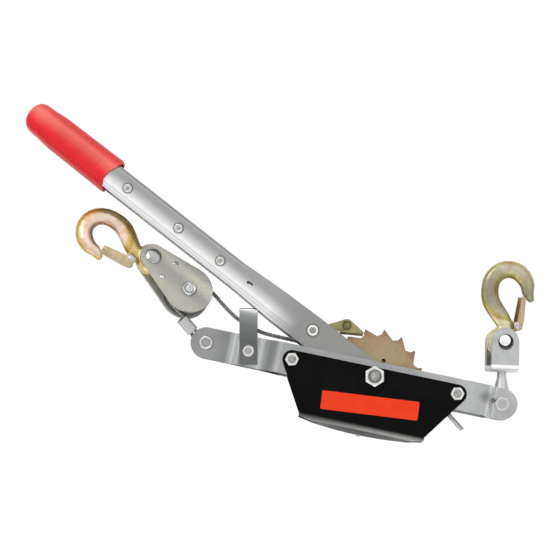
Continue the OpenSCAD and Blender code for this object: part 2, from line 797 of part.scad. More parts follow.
module latch_rivet() { translate(latch_at) domed_rivet(latch_pin_r, latch_w / 2, 3.6, 1.3); }

module latch_spring() {
    rise = latch_w / 2 - latch_t - lug_half;
    translate([latch_at.x, latch_at.y, lug_half + rise / 2])
        tube(helix(latch_pin_r + 0.6, rise - 1.2, 1, 16, 0), 0.35, 6);
}

// ---------- anchor swivel and hook ----------

module on_stud() { lifted() translate([anchor_x, 0, 0]) rotate([0, 0, stud_a]) children(); }

module on_clevis() { on_stud() rotate([0, clevis_turn, 0]) children(); }

stud_half = anchor_gap - seat_gap;
stud_head_r = clevis_gap - 0.7;

module anchor_stud() {
    color("silver") on_stud() difference() {
        union() {
            cylinder(r = 14.5, h = 2 * stud_half, center = true);
            rotate([-90, 0, 0]) {
                cylinder(r = 8.1, h = web_y - 20);
                translate([0, 0, web_y - 20]) cylinder(r1 = 8.1, r2 = shank_r, h = 15);
                translate([0, 0, web_y - 5]) cylinder(r = shank_r, h = clevis_t + 6);
                translate([0, 0, web_y + clevis_t + seat_gap]) cylinder(r = stud_head_r, h = 5);
            }
        }
        cylinder(r = anchor_bolt_r + run_gap, h = 4 * stud_half, center = true);
    }
}

module clevis_profile(inset, corner) {
    low = web_y + inset;
    half = clevis_gap + clevis_t - inset;
    translate([low, -half + corner]) square([60, 2 * (half - corner)]);
    translate([low + corner, -half]) square([60, 2 * half]);
    for (side = [-1, 1]) translate([low + corner, side * (half - corner)]) circle(r = corner);
}

module anchor_clevis() {
    color("silver") on_clevis() difference() {
        intersection() {
            translate([-clevis_w, 0, 0]) rotate([90, 0, 90]) linear_extrude(2 * clevis_w) clevis_profile(0, 5);
            slab(clevis_gap + clevis_t + 1) {
                translate([0, clevis_eye_y]) circle(d = clevis_w);
                translate([-clevis_w / 2, web_y - 1]) square([clevis_w, clevis_eye_y - web_y + 1]);
            }
        }
        translate([-clevis_w, 0, 0]) rotate([90, 0, 90]) linear_extrude(2 * clevis_w)
            clevis_profile(clevis_t, 1.2);
        translate([0, clevis_eye_y, 0]) cylinder(r = hook_pin_r + run_gap, h = 60, center = true);
        rotate([-90, 0, 0]) cylinder(r = shank_r + run_gap, h = web_y + 10);
    }
}

module on_anchor_hook() { on_clevis() translate([0, clevis_eye_y, 0]) rotate([0, 0, anchor_hook_a]) children(); }

module anchor_hook_rivet() {
    color("gainsboro") on_anchor_hook() domed_rivet(hook_pin_r, clevis_gap + clevis_t, 8, 4);
}

module anchor_hook() { color("khaki") on_anchor_hook() forged_hook(); }

module anchor_latch_rivet() { color("gainsboro") on_anchor_hook() latch_rivet(); }

module anchor_latch() { color("tan") on_anchor_hook() folded_latch(); }

module anchor_latch_spring() { color("dimgray") on_anchor_hook() latch_spring(); }

// ---------- pulley block and load hook ----------

module on_block() {
    lifted() translate(sheave_at) rotate([0, 0, block_a]) rotate([block_roll, 0, 0]) children();
}

tangent_a = acos((block_plate_r - hook_end_r) / block_len);
keeper_at = [block_len * 0.56, 10.5];

module block_outline() {
    circle(r = block_plate_r);
    translate([block_len, 0]) circle(r = hook_end_r);
    polygon([polar(block_plate_r, tangent_a), polar(block_plate_r, -tangent_a),
             [block_len, 0] + polar(hook_end_r, -tangent_a), [block_len, 0] + polar(hook_end_r, tangent_a)]);
}

module block_plate() {
    difference() {
        slab_between(block_gap, block_gap + block_t) block_outline();
        cylinder(r = sheave_pin_r + run_gap, h = 40);
        translate([block_len, 0, 0]) cylinder(r = hook_pin_r + run_gap, h = 40);
        for (side = [-1, 1]) translate([keeper_at.x, side * keeper_at.y, 0]) cylinder(r = 1.5 + run_gap, h = 40);
    }
}

sheave_pin_r = 6;

module front_block_plate() { color("silver") on_block() block_plate(); }

module rear_block_plate() { color("silver") on_block() mirror([0, 0, 1]) block_plate(); }

module block_keeper_pins() {
    color("gainsboro") on_block() for (side = [-1, 1]) translate([keeper_at.x, side * keeper_at.y, 0]) {
        domed_rivet(1.5, block_gap + block_t, 2.4, 0.9);
        cylinder(r = 2.6, h = 2 * block_gap - 0.04, center = true);
    }
}

module sheave_pin() {
    color("gainsboro") on_block() domed_rivet(sheave_pin_r, block_gap + block_t, 7.8, 3.2);
}

module sheave() {
    color("dimgray") on_block() rotate_extrude() difference() {
        translate([sheave_pin_r + run_gap, -sheave_half])
            square([sheave_rope_r + 1.8 - sheave_pin_r, 2 * sheave_half]);
        translate([sheave_rope_r, 0]) circle(r = rope_r + 0.5);
        polygon([[sheave_rope_r + 0.5, -rope_r - 0.7], [sheave_rope_r + 6, -rope_r - 3.5],
                 [sheave_rope_r + 6, rope_r + 3.5], [sheave_rope_r + 0.5, rope_r + 0.7]]);
    }
}

module on_load_hook() {
    on_block() translate([block_len, 0, 0]) rotate([0, 0, load_hook_a - 90]) mirror([1, 0, 0]) children();
}

module load_hook_rivet() {
    color("gainsboro") on_block() translate([block_len, 0, 0])
        domed_rivet(hook_pin_r, block_gap + block_t, 8.2, 2.8);
}

module load_hook() { color("khaki") on_load_hook() forged_hook(); }

module load_latch_rivet() { color("gainsboro") on_load_hook() latch_rivet(); }

module load_latch() { color("tan") on_load_hook() folded_latch(); }

module load_latch_spring() { color("dimgray") on_load_hook() latch_spring(); }

// ---------- sub-parts ----------

front_side_plate();
rear_side_plate();
drum_guard();
guard_rivet();
axle_bolt();
axle_nut();
guard_bolts();
guard_nuts();
frame_spacer();
rope_end_rivet();
rope_end_bush();
handle_rest();
rest_rivet();
anchor_bolt();
anchor_nut();
wire_rope();
rope_ferrule();
drum_barrel();
front_ratchet_wheel();
rear_ratchet_wheel();
rope_core();
rope_winding();
handle_channel();
handle_grip();
handle_rivets();
drive_pawl_pin();
drive_pawl();
drive_pawl_spring();
stop_pawl();
stop_pawl_spring();
anchor_stud();
anchor_clevis();
anchor_hook_rivet();
anchor_hook();
anchor_latch_rivet();
anchor_latch();
anchor_latch_spring();
front_block_plate();
rear_block_plate();
block_keeper_pins();
sheave_pin();
sheave();
load_hook_rivet();
load_hook();
load_latch_rivet();
load_latch();
load_latch_spring();
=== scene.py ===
"""Looks of the hand ratchet winch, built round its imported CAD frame.

Places and sizes are in millimetres and degrees and become metres when a piece is made. The drum's axle
is the Z axis, and the winch lies on its side.
"""
import json
import math
import bmesh
import bpy
from mathutils import Euler, Matrix, Vector

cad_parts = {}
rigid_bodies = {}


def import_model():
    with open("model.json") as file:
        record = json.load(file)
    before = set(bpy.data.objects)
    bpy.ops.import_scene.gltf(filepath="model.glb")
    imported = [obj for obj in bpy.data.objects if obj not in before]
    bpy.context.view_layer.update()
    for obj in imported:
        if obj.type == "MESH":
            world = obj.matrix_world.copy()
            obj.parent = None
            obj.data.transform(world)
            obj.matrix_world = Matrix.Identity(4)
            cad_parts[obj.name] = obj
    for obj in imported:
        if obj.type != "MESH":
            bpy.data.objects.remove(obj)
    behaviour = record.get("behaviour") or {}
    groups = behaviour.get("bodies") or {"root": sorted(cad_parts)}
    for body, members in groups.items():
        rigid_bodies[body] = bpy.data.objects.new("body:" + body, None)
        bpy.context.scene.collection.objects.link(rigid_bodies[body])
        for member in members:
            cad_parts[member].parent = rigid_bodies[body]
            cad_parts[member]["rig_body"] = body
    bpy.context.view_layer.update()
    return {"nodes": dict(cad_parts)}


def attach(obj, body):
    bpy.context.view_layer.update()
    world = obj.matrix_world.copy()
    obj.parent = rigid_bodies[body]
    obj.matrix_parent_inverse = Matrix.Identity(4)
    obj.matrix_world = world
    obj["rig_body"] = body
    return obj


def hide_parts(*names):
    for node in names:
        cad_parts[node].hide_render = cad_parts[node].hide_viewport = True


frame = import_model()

MM = 0.001
NODES = frame["nodes"]
MID_Z = 33.5    # height of the winch's middle plane above the floor


def link(name, data):
    """Puts new data in the scene as an object."""
    thing = bpy.data.objects.new(name, data)
    bpy.context.scene.collection.objects.link(thing)
    return thing


# ---------- camera: from above the winch, five degrees off straight down ----------

IMAGE_TILT = 11.8
CAMERA_RISE = 85.0
CAMERA_DISTANCE = 3.0
VIEW_WIDTH = 0.564
SENSOR = 36
TARGET = Vector((-112.4 * MM, 77.6 * MM, MID_Z * MM))


def add_camera():
    """A long lens, turned so that the side plates slope down to the right."""
    right = Vector((math.cos(math.radians(IMAGE_TILT)), math.sin(math.radians(IMAGE_TILT)), 0))
    level_up = Vector((-right.y, right.x, 0))
    rise = math.radians(CAMERA_RISE)
    back = Vector((0, 0, 1)) * math.sin(rise) - level_up * math.cos(rise)
    up = back.cross(right)
    data = bpy.data.cameras.new("camera")
    data.sensor_width = SENSOR
    data.lens = SENSOR * CAMERA_DISTANCE / VIEW_WIDTH
    data.clip_start = 0.05
    camera = link("camera", data)
    turn = Matrix((right, up, back)).transposed()
    camera.matrix_world = Matrix.Translation(TARGET + back * CAMERA_DISTANCE) @ turn.to_4x4()
    bpy.context.scene.camera = camera


add_camera()


# ---------- rope routes, the same as the CAD model's ----------

ROPE_R = 2.0
LAYER_R = 17.5
LEAD_R = LAYER_R + 2 * ROPE_R + 0.3
WIND_STEP = 4.5
WIND_TURNS = 4
WIND_PARTS = 24
SHEAVE_ROPE_R = 20.5
SHEAVE_AT = Vector((-202, 46, 0))
BIGHT_START = -100
BIGHT_SWEEP = 183.5
BIGHT_PARTS = 14
BLOCK_TURN = 149.0
BLOCK_ROLL = 25.0
ROPE_END_X = 172.0
EYE_R = 7.9
FERRULE_SPACING = 4.7
FERRULE_NEAR = 17.0
FERRULE_FAR = 35.0


def polar(r, a, z=0.0):
    """Place at a radius and an angle round the axle."""
    return Vector((r * math.cos(math.radians(a)), r * math.sin(math.radians(a)), z))


def on_block(p):
    """From the pulley block's own coordinates to the winch's."""
    rolled = Euler((math.radians(BLOCK_ROLL), 0, 0)).to_matrix() @ Vector(p)
    return SHEAVE_AT + Euler((0, 0, math.radians(BLOCK_TURN))).to_matrix() @ rolled


def curve_point(a, b, c, d, t):
    """Point between b and c of a smooth curve through all four."""
    return 0.5 * (2 * b + (c - a) * t + (2 * a - 5 * b + 4 * c - d) * t * t
                  + (3 * b - a - 3 * c + d) * t ** 3)


def smooth(route, steps):
    """A route with so many steps from each of its points to the next."""
    points = []
    last = len(route) - 1
    for i in range(last):
        a, d = route[max(i - 1, 0)], route[min(i + 2, last)]
        points += [curve_point(a, route[i], route[i + 1], d, s / steps) for s in range(steps)]
    return points + [route[last]]


def rope_route():
    """From under the drum, round the sheave and back to an eye at the rope-end rivet."""
    wrap = [polar(LEAD_R, a, -1 + a / 100) for a in range(-100, 81, 20)]
    lead = [Vector(p) for p in ((-18, LEAD_R, 0), (-50, 21.4, 0), (-79, 20.8, 0), (-92, 21, 0),
                                (-107, 21.2, 0), (-123, 22.8, -1), (-145, 30.3, -3.5),
                                (-160, 39.3, -5.5), (-174, 49.8, -7.5))]
    bight = [on_block(polar(SHEAVE_ROPE_R, BIGHT_START + BIGHT_SWEEP * i / BIGHT_PARTS))
             for i in range(BIGHT_PARTS + 1)]
    end = Vector((-ROPE_END_X, 0, 0))
    along = end - bight[-1]
    along.z = 0
    along.normalize()
    side = Vector((-along.y, along.x, 0))

    def dead(back, off, z):
        """Place on the dead end: so far back from the rivet, off to the side and up."""
        return end - along * back + side * off + Vector((0, 0, z))

    turn = math.degrees(math.atan2(along.y, along.x))
    loop = [end + polar(EYE_R, turn + a) for a in range(90, -91, -20)]
    tail = [dead(FERRULE_FAR, 0, 8), dead(FERRULE_NEAR, 0, 2), dead(8.5, 5, 0.2)] + loop
    tail += [dead(8.5, -7.4, 0.2), dead(FERRULE_NEAR, -FERRULE_SPACING, 2),
             dead(FERRULE_FAR, -FERRULE_SPACING, 8)]
    return wrap + smooth(lead, 2) + bight + tail


def winding_route():
    """The outer layer on the drum, a plain helix."""
    return [polar(LAYER_R, 90 + 360 / WIND_PARTS * i, WIND_STEP * (i / WIND_PARTS - WIND_TURNS / 2))
            for i in range(WIND_PARTS * WIND_TURNS + 1)]


def to_metres(points):
    """From the middle plane in millimetres to the scene."""
    return [(p + Vector((0, 0, MID_Z))) * MM for p in points]


# ---------- places of the moving groups and of what the looks follow ----------

HANDLE_TURN = 153.6
HANDLE_OFF = 3.8
ANCHOR_X = 130.5
STUD_TURN = 10.5
CLEVIS_TURN = 17.0
CLEVIS_EYE = 62.5
BLOCK_LENGTH = 48.5
LOAD_HOOK_TURN = 15.0
ANCHOR_HOOK_TURN = -5.0
REST_X = 128.5
WHEEL_R = 48.5
PIN_AT = polar(77, HANDLE_TURN) + polar(1.4, HANDLE_TURN + 90)
PAWL_BOSS = polar(58.5, 129.5)
LEVER_RIVETS = [polar(u, HANDLE_TURN) + polar(HANDLE_OFF, HANDLE_TURN + 90) for u in (193, 246.3, 311.3)]
GLINT_AT = polar(424, HANDLE_TURN) + polar(-1, HANDLE_TURN + 90)
# middle of a darker patch on the side plates by the anchor
DARK_PATCH_AT = Vector((113, 3))
# middle of painted shade on the side plates beside the anchor bolt's head
BOLT_SHADE_AT = Vector((122.5, 2))
LEVER_HEAD_R = 4.9
PIN_HEAD_R = 6
REST_HEAD_R = 6.4
ROPE_END_HEAD_R = 7.6


def turned_by(degrees, axis="Z"):
    return Matrix.Rotation(math.radians(degrees), 4, axis)


def moved(x, y, z=0.0):
    return Matrix.Translation((x, y, z))


FRAME = moved(0, 0, MID_Z)
BLOCK = FRAME @ moved(*SHEAVE_AT) @ turned_by(BLOCK_TURN) @ turned_by(BLOCK_ROLL, "X")
LOAD_EYE = BLOCK @ moved(BLOCK_LENGTH, 0)
LOAD_HOOK = LOAD_EYE @ turned_by(LOAD_HOOK_TURN - 90) @ Matrix.Scale(-1, 4, (1, 0, 0))
STUD = FRAME @ moved(ANCHOR_X, 0) @ turned_by(STUD_TURN)
ANCHOR_EYE = STUD @ turned_by(CLEVIS_TURN, "Y") @ moved(0, CLEVIS_EYE)
ANCHOR_HOOK = ANCHOR_EYE @ turned_by(ANCHOR_HOOK_TURN)
HOOK_BOWL = Vector((1.8, 54, 0))
LATCH_PIN = moved(12, 18.5)


# ---------- small mesh tools ----------

STRANDS = 6
STRAND_SIDES = 7
STRAND_SWELL = 1.02
CORE_SIDES = 8
CORE_SHARE = 0.45
WELD = 0.002 * MM
FLAT_ANGLE = 0.8
EDGE_ANGLE = 32
CHANNEL_CUT = 395.0
DRAWN_LENGTH = 57.0
DRAWN_STEP = 3
DRAWN_TO = 0.93
FORGING_VOXEL = 0.5
FORGING_ROUNDS = 7


def handle_point(u, v, z):
    """From the lever's length, width and depth to metres."""
    return (polar(u, HANDLE_TURN) + polar(v, HANDLE_TURN + 90) + Vector((0, 0, z + MID_Z))) * MM


def made(name, bm, sharp_angle=None):
    """The bmesh as a piece, smooth apart from edges sharper than the angle, where one is given."""
    mesh = bpy.data.meshes.new(name)
    bm.to_mesh(mesh)
    bm.free()
    if sharp_angle:
        for face in mesh.polygons:
            face.use_smooth = True
        mesh.set_sharp_from_angle(angle=math.radians(sharp_angle))
    return link(name, mesh)


def resample(points, step):
    """Points at even steps along a line, with its end."""
    out = [points[0]]
    left = step
    for a, b in zip(points, points[1:]):
        span = (b - a).length
        at = left
        while at <= span:
            out.append(a.lerp(b, at / span))
            at += step
        left = at - span
    if (out[-1] - points[-1]).length > step * 0.3:
        out.append(points[-1])
    return out


def carried_frames(points):
    """An upright pair of side vectors at each point, carried along without twist."""
    frames = []
    side = None
    for i, p in enumerate(points):
        along = (points[min(i + 1, len(points) - 1)] - points[max(i - 1, 0)]).normalized()
        if side is None:
            side = along.orthogonal().normalized()
        side = (side - along * side.dot(along)).normalized()
        frames.append((p, side.copy(), along.cross(side)))
    return frames


def add_tube(bm, centres, radius, sides):
    """Round tube with closed ends through frames of (centre, side, up)."""
    rings = []
    for centre, side, up in centres:
        rings.append([bm.verts.new(centre + radius * (side * math.cos(2 * math.pi * j / sides)
                                                      + up * math.sin(2 * math.pi * j / sides)))
                      for j in range(sides)])
    for a, b in zip(rings, rings[1:]):
        for j in range(sides):
            bm.faces.new((a[j], a[(j + 1) % sides], b[(j + 1) % sides], b[j]))
    bm.faces.new(rings[0][::-1])
    bm.faces.new(rings[-1])


def stranded(name, route, radius, lay_length, step):
    """Wire rope: round strands laid in a helix round a core."""
    points = resample(to_metres(smooth(route, 4)), step)
    frames = carried_frames(points)
    bm = bmesh.new()
    add_tube(bm, frames, radius * CORE_SHARE, CORE_SIDES)
    strand_r = radius / 3 * STRAND_SWELL
    reach = radius - strand_r
    for k in range(STRANDS):
        centres = []
        for i, (p, side, up) in enumerate(frames):
            a = 2 * math.pi * (k / STRANDS + i * step / lay_length)
            out = side * math.cos(a) + up * math.sin(a)
            centres.append((p + out * reach, out, (-side * math.sin(a) + up * math.cos(a))))
        add_tube(bm, centres, strand_r, STRAND_SIDES)
    for face in bm.faces:
        face.smooth = True
    return made(name, bm), points


def copied(node, suffix):
    """A welded copy of a CAD node that rides on the same body and takes its place in the picture."""
    bm = bmesh.new()
    bm.from_mesh(NODES[node].data)
    bmesh.ops.remove_doubles(bm, verts=bm.verts, dist=WELD)
    piece = made(node + suffix, bm)
    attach(piece, NODES[node]["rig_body"])
    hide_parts(node)
    return piece


def bake(piece):
    """Replaces the piece's mesh by the result of its modifiers."""
    bpy.context.view_layer.update()
    name = piece.data.name
    done = bpy.data.meshes.new_from_object(piece.evaluated_get(bpy.context.evaluated_depsgraph_get()))
    piece.modifiers.clear()
    piece.data = done
    done.name = name


def cut_across(bm, place, along, **choices):
    """Cuts every face that the plane through the place meets."""
    everything = bm.verts[:] + bm.edges[:] + bm.faces[:]
    return bmesh.ops.bisect_plane(bm, geom=everything, plane_co=place, plane_no=along, **choices)


def shorten(bm):
    """Cuts away the channel's end and draws in the rest of what only the grip's inside can see."""
    along = polar(1, HANDLE_TURN)
    place = handle_point(CHANNEL_CUT, 0, 0)
    cut = cut_across(bm, place, along, clear_outer=True)
    rim = [g for g in cut["geom_cut"] if isinstance(g, bmesh.types.BMEdge)]
    bmesh.ops.holes_fill(bm, edges=rim, sides=0)
    start = place - along * DRAWN_LENGTH * MM
    for step in (0, DRAWN_STEP):
        cut_across(bm, start + along * step * MM, along)
    for v in bm.verts:
        far = (v.co - start).dot(along)
        if far > DRAWN_STEP / 2 * MM:
            middle = start + along * far
            v.co = middle + (v.co - middle) * DRAWN_TO


def softened(node, width):
    """A copy of a CAD node with its sharp edges rounded as a real sheet's or bolt's are."""
    piece = copied(node, "_worn")
    bm = bmesh.new()
    bm.from_mesh(piece.data)
    if node == "handle_channel":
        shorten(bm)
    bmesh.ops.dissolve_limit(bm, angle_limit=math.radians(FLAT_ANGLE), verts=bm.verts, edges=bm.edges)
    for face in bm.faces:
        face.smooth = True
    bm.to_mesh(piece.data)
    bm.free()
    bevel = piece.modifiers.new("edges", "BEVEL")
    bevel.width = width * MM
    bevel.segments = 2
    bevel.limit_method = "ANGLE"
    bevel.angle_limit = math.radians(EDGE_ANGLE)
    bevel.use_clamp_overlap = True
    level = piece.modifiers.new("normals", "WEIGHTED_NORMAL")
    level.mode = "FACE_AREA"
    level.weight = 90
    level.keep_sharp = False
    bake(piece)
    return piece


def forged(node):
    """A copy of a CAD node with every edge and corner run together as on a forging."""
    piece = copied(node, "_forged")
    skin = piece.modifiers.new("skin", "REMESH")
    skin.mode = "VOXEL"
    skin.voxel_size = FORGING_VOXEL * MM
    skin.use_smooth_shade = True
    ease = piece.modifiers.new("ease", "SMOOTH")
    ease.factor = 0.5
    ease.iterations = FORGING_ROUNDS
    bake(piece)
    return piece


# ---------- shader nodes ----------

def linear(code):
    """Display colour to the linear one that shaders use."""
    parts = [int(code[i:i + 2], 16) / 255 for i in (1, 3, 5)]
    return [p / 12.92 if p <= 0.04045 else ((p + 0.055) / 1.055) ** 2.4 for p in parts] + [1.0]


def per_mm(size):
    """Noise scale whose blotches are about this many millimetres across."""
    return 1000 / size


def plug(tree, node, settings):
    """Gives a node its settings: a socket is linked, and a value is set on its input or on the node."""
    for key, value in settings.items():
        socket = {s.identifier.replace(" ", "_"): s for s in node.inputs}.get(key)
        if socket is None:
            setattr(node, key, value)
        elif isinstance(value, bpy.types.NodeSocket):
            tree.links.new(value, socket)
        else:
            socket.default_value = value


def add_node(tree, kind, out=0, stops=(), **settings):
    """Adds a node with its settings and links. A ramp's stops are pairs of place and hex code or grey."""
    node = tree.nodes.new("ShaderNode" + kind)
    plug(tree, node, settings)
    if stops:
        band = node.color_ramp.elements
        while len(band) < len(stops):
            band.new(0.5)
        for element, (at, shade) in zip(band, stops):
            element.position = at
            element.color = linear(shade) if isinstance(shade, str) else (shade,) * 3 + (1,)
    return node.outputs[out]


class Finish:
    """A material whose colour, roughness and relief come from patterns of real sizes."""

    def __init__(self, name, **surface):
        self.mat = bpy.data.materials.new(name)
        self.mat.use_nodes = True
        self.shader = self.mat.node_tree.nodes["Principled BSDF"]
        self.place = self.add("TexCoord", "Object")
        self.colour = None
        self.coat(**surface)

    def add(self, kind, out=0, **settings):
        """Adds a node to this material and gives one of its outputs."""
        return add_node(self.mat.node_tree, kind, out, **settings)

    def coat(self, **surface):
        """Sets or links inputs of the surface."""
        plug(self.mat.node_tree, self.shader, surface)

    def paint(self, colour):
        """Makes a socket the base colour."""
        self.colour = colour
        self.coat(Base_Color=colour)

    def lay(self, over, share=1.0):
        """Multiplies the base colour by a second one."""
        self.paint(self.add("Mix", 2, data_type="RGBA", blend_type="MULTIPLY", Factor_Float=share,
                            A_Color=self.colour, B_Color=over))

    def shade(self, source, stops):
        """Multiplies the base colour by a ramp that follows the source."""
        self.lay(self.add("ValToRGB", Fac=source, stops=stops))

    def along(self, axis, low_mm, high_mm, turn=0.0):
        """Runs from 0 to 1 between two distances along an axis of the coordinates turned about Z."""
        turned = self.add("Mapping", vector_type="TEXTURE", Vector=self.place,
                          Rotation=(0, 0, math.radians(turn)))
        far = self.add("SeparateXYZ", axis, Vector=turned)
        return self.add("MapRange", Value=far, From_Min=low_mm * MM, From_Max=high_mm * MM)

    def around(self, centre, low_mm, high_mm):
        """Runs from 0 to 1 between two distances from an upright line through the centre."""
        flat = self.add("VectorMath", operation="MULTIPLY", Vector=self.place, Vector_001=(1, 1, 0))
        far = self.add("VectorMath", "Value", operation="DISTANCE", Vector=flat,
                       Vector_001=(centre.x * MM, centre.y * MM, 0))
        return self.add("MapRange", Value=far, From_Min=low_mm * MM, From_Max=high_mm * MM)


# ---------- zinc plated sheet ----------
# Rolling marks, pits and single wires are finer than this in life: they are drawn coarse so that they show.

def zinc_sheet(name, rolled_turn, shine):
    """Bright zinc on cold-rolled sheet: a soft mirror, drawn out into streaks along the rolling."""
    f = Finish(name, Metallic=1.0, Roughness=shine)
    rolled = f.add("Mapping", vector_type="TEXTURE", Vector=f.place,
                   Rotation=(0, 0, math.radians(rolled_turn)), Scale=(60, 1, 1))
    streaks = f.add("TexNoise", Vector=rolled, Scale=per_mm(0.5), Detail=3, Roughness=0.55)
    f.coat(Roughness=f.add("MapRange", Value=streaks, To_Min=shine - 0.05, To_Max=shine + 0.1),
           Normal=f.add("Bump", Height=streaks, Strength=0.4, Distance=0.008 * MM))
    return f


def handle_sheet():
    """The lever's channel: painted shade near the drum and along one edge, painted highlight lines along the
    other.
    """
    f = zinc_sheet("zinc_handle", HANDLE_TURN, 0.3)
    # painted light and shade across the channel, with painted highlight lines along one edge
    across = f.add("ValToRGB", Fac=f.along("Y", -9.7, 17.3, HANDLE_TURN),
                   stops=[(0.0, "#AAAAAA"), (0.3, "#ABABAB"), (0.42, "#BEBEBE"), (0.6, "#E4E4E4"),
                          (0.72, "#FCFCFC"), (0.79, "#FCFCFC"), (0.82, "#D4D4D4"), (0.86, "#F8F8F8"),
                          (0.95, "#E0E0E0"), (1.0, "#F4F4F4")])
    # painted shade near the drum, fading into the painted light across the channel
    f.paint(f.add("Mix", 2, data_type="RGBA", Factor_Float=f.along("X", 92, 126, HANDLE_TURN),
                  A_Color=linear("#9C9C9B"), B_Color=across))
    # painted shadow rings on the channel round the lever's rivets and round the pawl pin
    for centre in LEVER_RIVETS:
        f.shade(f.around(centre, 4.4, 6.2), [(0.0, "#8C8C8B"), (0.35, "#A6A6A5"), (1.0, "#FFFFFF")])
    f.shade(f.around(PIN_AT, 5.6, 7.6), [(0.0, "#B4B4B3"), (0.4, "#C8C8C7"), (1.0, "#FFFFFF")])
    return f.mat


def side_plate_sheet():
    """Side plates: painted light and shade along them, darker towards the rope's end with painted highlights
    on the joggles' slopes, and by the anchor a darker patch and painted shade beside the bolt's head.
    """
    f = zinc_sheet("zinc_side_plate", 0, 0.3)
    # painted light and shade along the plates: darker towards the rope's end, painted highlights on the
    # joggles' slopes
    f.paint(f.add("ValToRGB", Fac=f.along("X", -190, 146), stops=[
        (0.0, "#A2A3A3"), (0.06, "#A8A9A9"), (0.11, "#929494"), (0.118, "#929494"), (0.124, "#B2B4B4"),
        (0.13, "#BEC0C0"), (0.136, "#BEC0C0"), (0.141, "#DADCDC"), (0.147, "#D4D6D6"), (0.153, "#B2B4B4"),
        (0.17, "#949696"), (0.212, "#C2C4C4"), (0.22, "#DADCDC"), (0.232, "#929494"), (0.262, "#A4A6A6"),
        (0.275, "#B4B6B6"), (0.6, "#B0B2B2"), (0.85, "#CACCCC"), (0.905, "#BEC0C0"), (0.914, "#F4F6F6"),
        (0.922, "#FFFFFF"), (0.93, "#D2D4D4"), (0.94, "#C0C2C2"), (1.0, "#C8CACA")]))
    clouds = f.add("TexNoise", Vector=f.place, Scale=per_mm(28), Detail=4, Roughness=0.55)
    f.shade(clouds, [(0.3, "#E6E6E6"), (0.7, "#FFFFFF")])
    # a darker patch by the anchor
    f.shade(f.around(DARK_PATCH_AT, 0, 8), [(0.0, "#C8C9C9"), (0.35, "#CECFCF"), (1.0, "#FFFFFF")])
    # painted shade beside the anchor bolt's head
    f.shade(f.around(BOLT_SHADE_AT, 0, 3.6), [(0.0, "#8C8C8B"), (0.3, "#A2A2A1"), (1.0, "#FFFFFF")])
    return f.mat


def block_sheet():
    """The pulley block's plates: satin rather than mirror, with painted light: pale margins beside a greyer
    middle.
    """
    f = Finish("zinc_block_plate", Metallic=0.5, Roughness=0.4)
    # painted light across the plates: pale margins beside a greyer middle
    f.paint(f.add("ValToRGB", Fac=f.along("Y", 40.6, 88.6, BLOCK_TURN),
                  stops=[(0.06, "#FFFFFA"), (0.14, "#F8F7F0"), (0.25, "#D2D1CA"), (0.375, "#A9A8A3"),
                         (0.5, "#A6A5A1"), (0.625, "#B5B4AE"), (0.75, "#BAB9B2"), (0.875, "#B6B5AE")]))
    clouds = f.add("TexNoise", Vector=f.place, Scale=per_mm(16), Detail=3, Roughness=0.55)
    f.shade(clouds, [(0.3, "#F2F0F4"), (0.7, "#FFFDF2")])
    handled = f.add("TexNoise", Vector=f.place, Scale=per_mm(0.9), Detail=2, Roughness=0.55)
    f.coat(Roughness=f.add("MapRange", Value=handled, To_Min=0.36, To_Max=0.5))
    return f.mat


def rest_sheet():
    """The handle rest's strap: dull grey, with a painted highlight towards the bend at its top."""
    f = zinc_sheet("dull_rest", 90 + IMAGE_TILT, 0.34)
    # painted highlight towards the bend at the strap's top
    f.paint(f.add("ValToRGB", Fac=f.along("Y", -12, 42),
                  stops=[(0.0, "#727373"), (0.4, "#696A6A"), (0.7, "#7E7F7F"), (0.86, "#989999"),
                         (0.92, "#B4B5B5"), (0.97, "#F0F0F0")]))
    return f.mat


def clevis_sheet():
    """Anchor clevis: satin plate with a painted highlight along the bend at its base."""
    f = Finish("zinc_clevis", Metallic=0.9, Roughness=0.34)
    clouds = f.add("TexNoise", Vector=f.place, Scale=per_mm(9), Detail=3, Roughness=0.55)
    f.paint(f.add("ValToRGB", Fac=clouds, stops=[(0.3, "#C4C6C6"), (0.7, "#D4D6D6")]))
    # painted highlight along the bend at the base: whiter colour and lower metallic there
    up = f.along("Y", 9, 19, STUD_TURN)
    f.shade(up, [(0.0, "#F0F0F0"), (0.36, "#F4F4F4"), (0.5, "#FFFFFF"), (0.6, "#FFFFFF"), (0.72, "#EEEEEE")])
    unlit = f.add("ValToRGB", Fac=up, stops=[(0.0, 0.45), (0.34, 0.5), (0.46, 0.0), (0.58, 0.0), (0.7, 1.0)])
    f.paint(f.add("Mix", 2, data_type="RGBA", Factor_Float=unlit, A_Color=linear("#FFFFFF"),
                  B_Color=f.colour))
    pits = f.add("TexNoise", Vector=f.place, Scale=per_mm(0.5), Detail=2, Roughness=0.55)
    f.coat(Metallic=f.add("ValToRGB", Fac=up,
                          stops=[(0.0, 0.6), (0.34, 0.6), (0.46, 0.1), (0.58, 0.1), (0.7, 0.9)]),
           Normal=f.add("Bump", Height=pits, Strength=0.3, Distance=0.02 * MM))
    return f.mat


# ---------- plated fasteners and forgings ----------

def clouded(name, light, dark, shine=0.28, size=3.5, metal=1.0):
    """Plated, oiled or pressed metal: faint clouds, and fine pits that break up the mirror."""
    f = Finish(name, Metallic=metal, Roughness=shine)
    clouds = f.add("TexNoise", Vector=f.place, Scale=per_mm(size), Detail=3, Roughness=0.55)
    pits = f.add("TexNoise", Vector=f.place, Scale=per_mm(0.5), Detail=2, Roughness=0.55)
    f.paint(f.add("ValToRGB", Fac=clouds, stops=[(0.3, dark), (0.7, light)]))
    f.coat(Roughness=f.add("MapRange", Value=pits, To_Min=shine - 0.06, To_Max=shine + 0.14),
           Normal=f.add("Bump", Height=pits, Strength=0.35, Distance=0.03 * MM))
    return f.mat


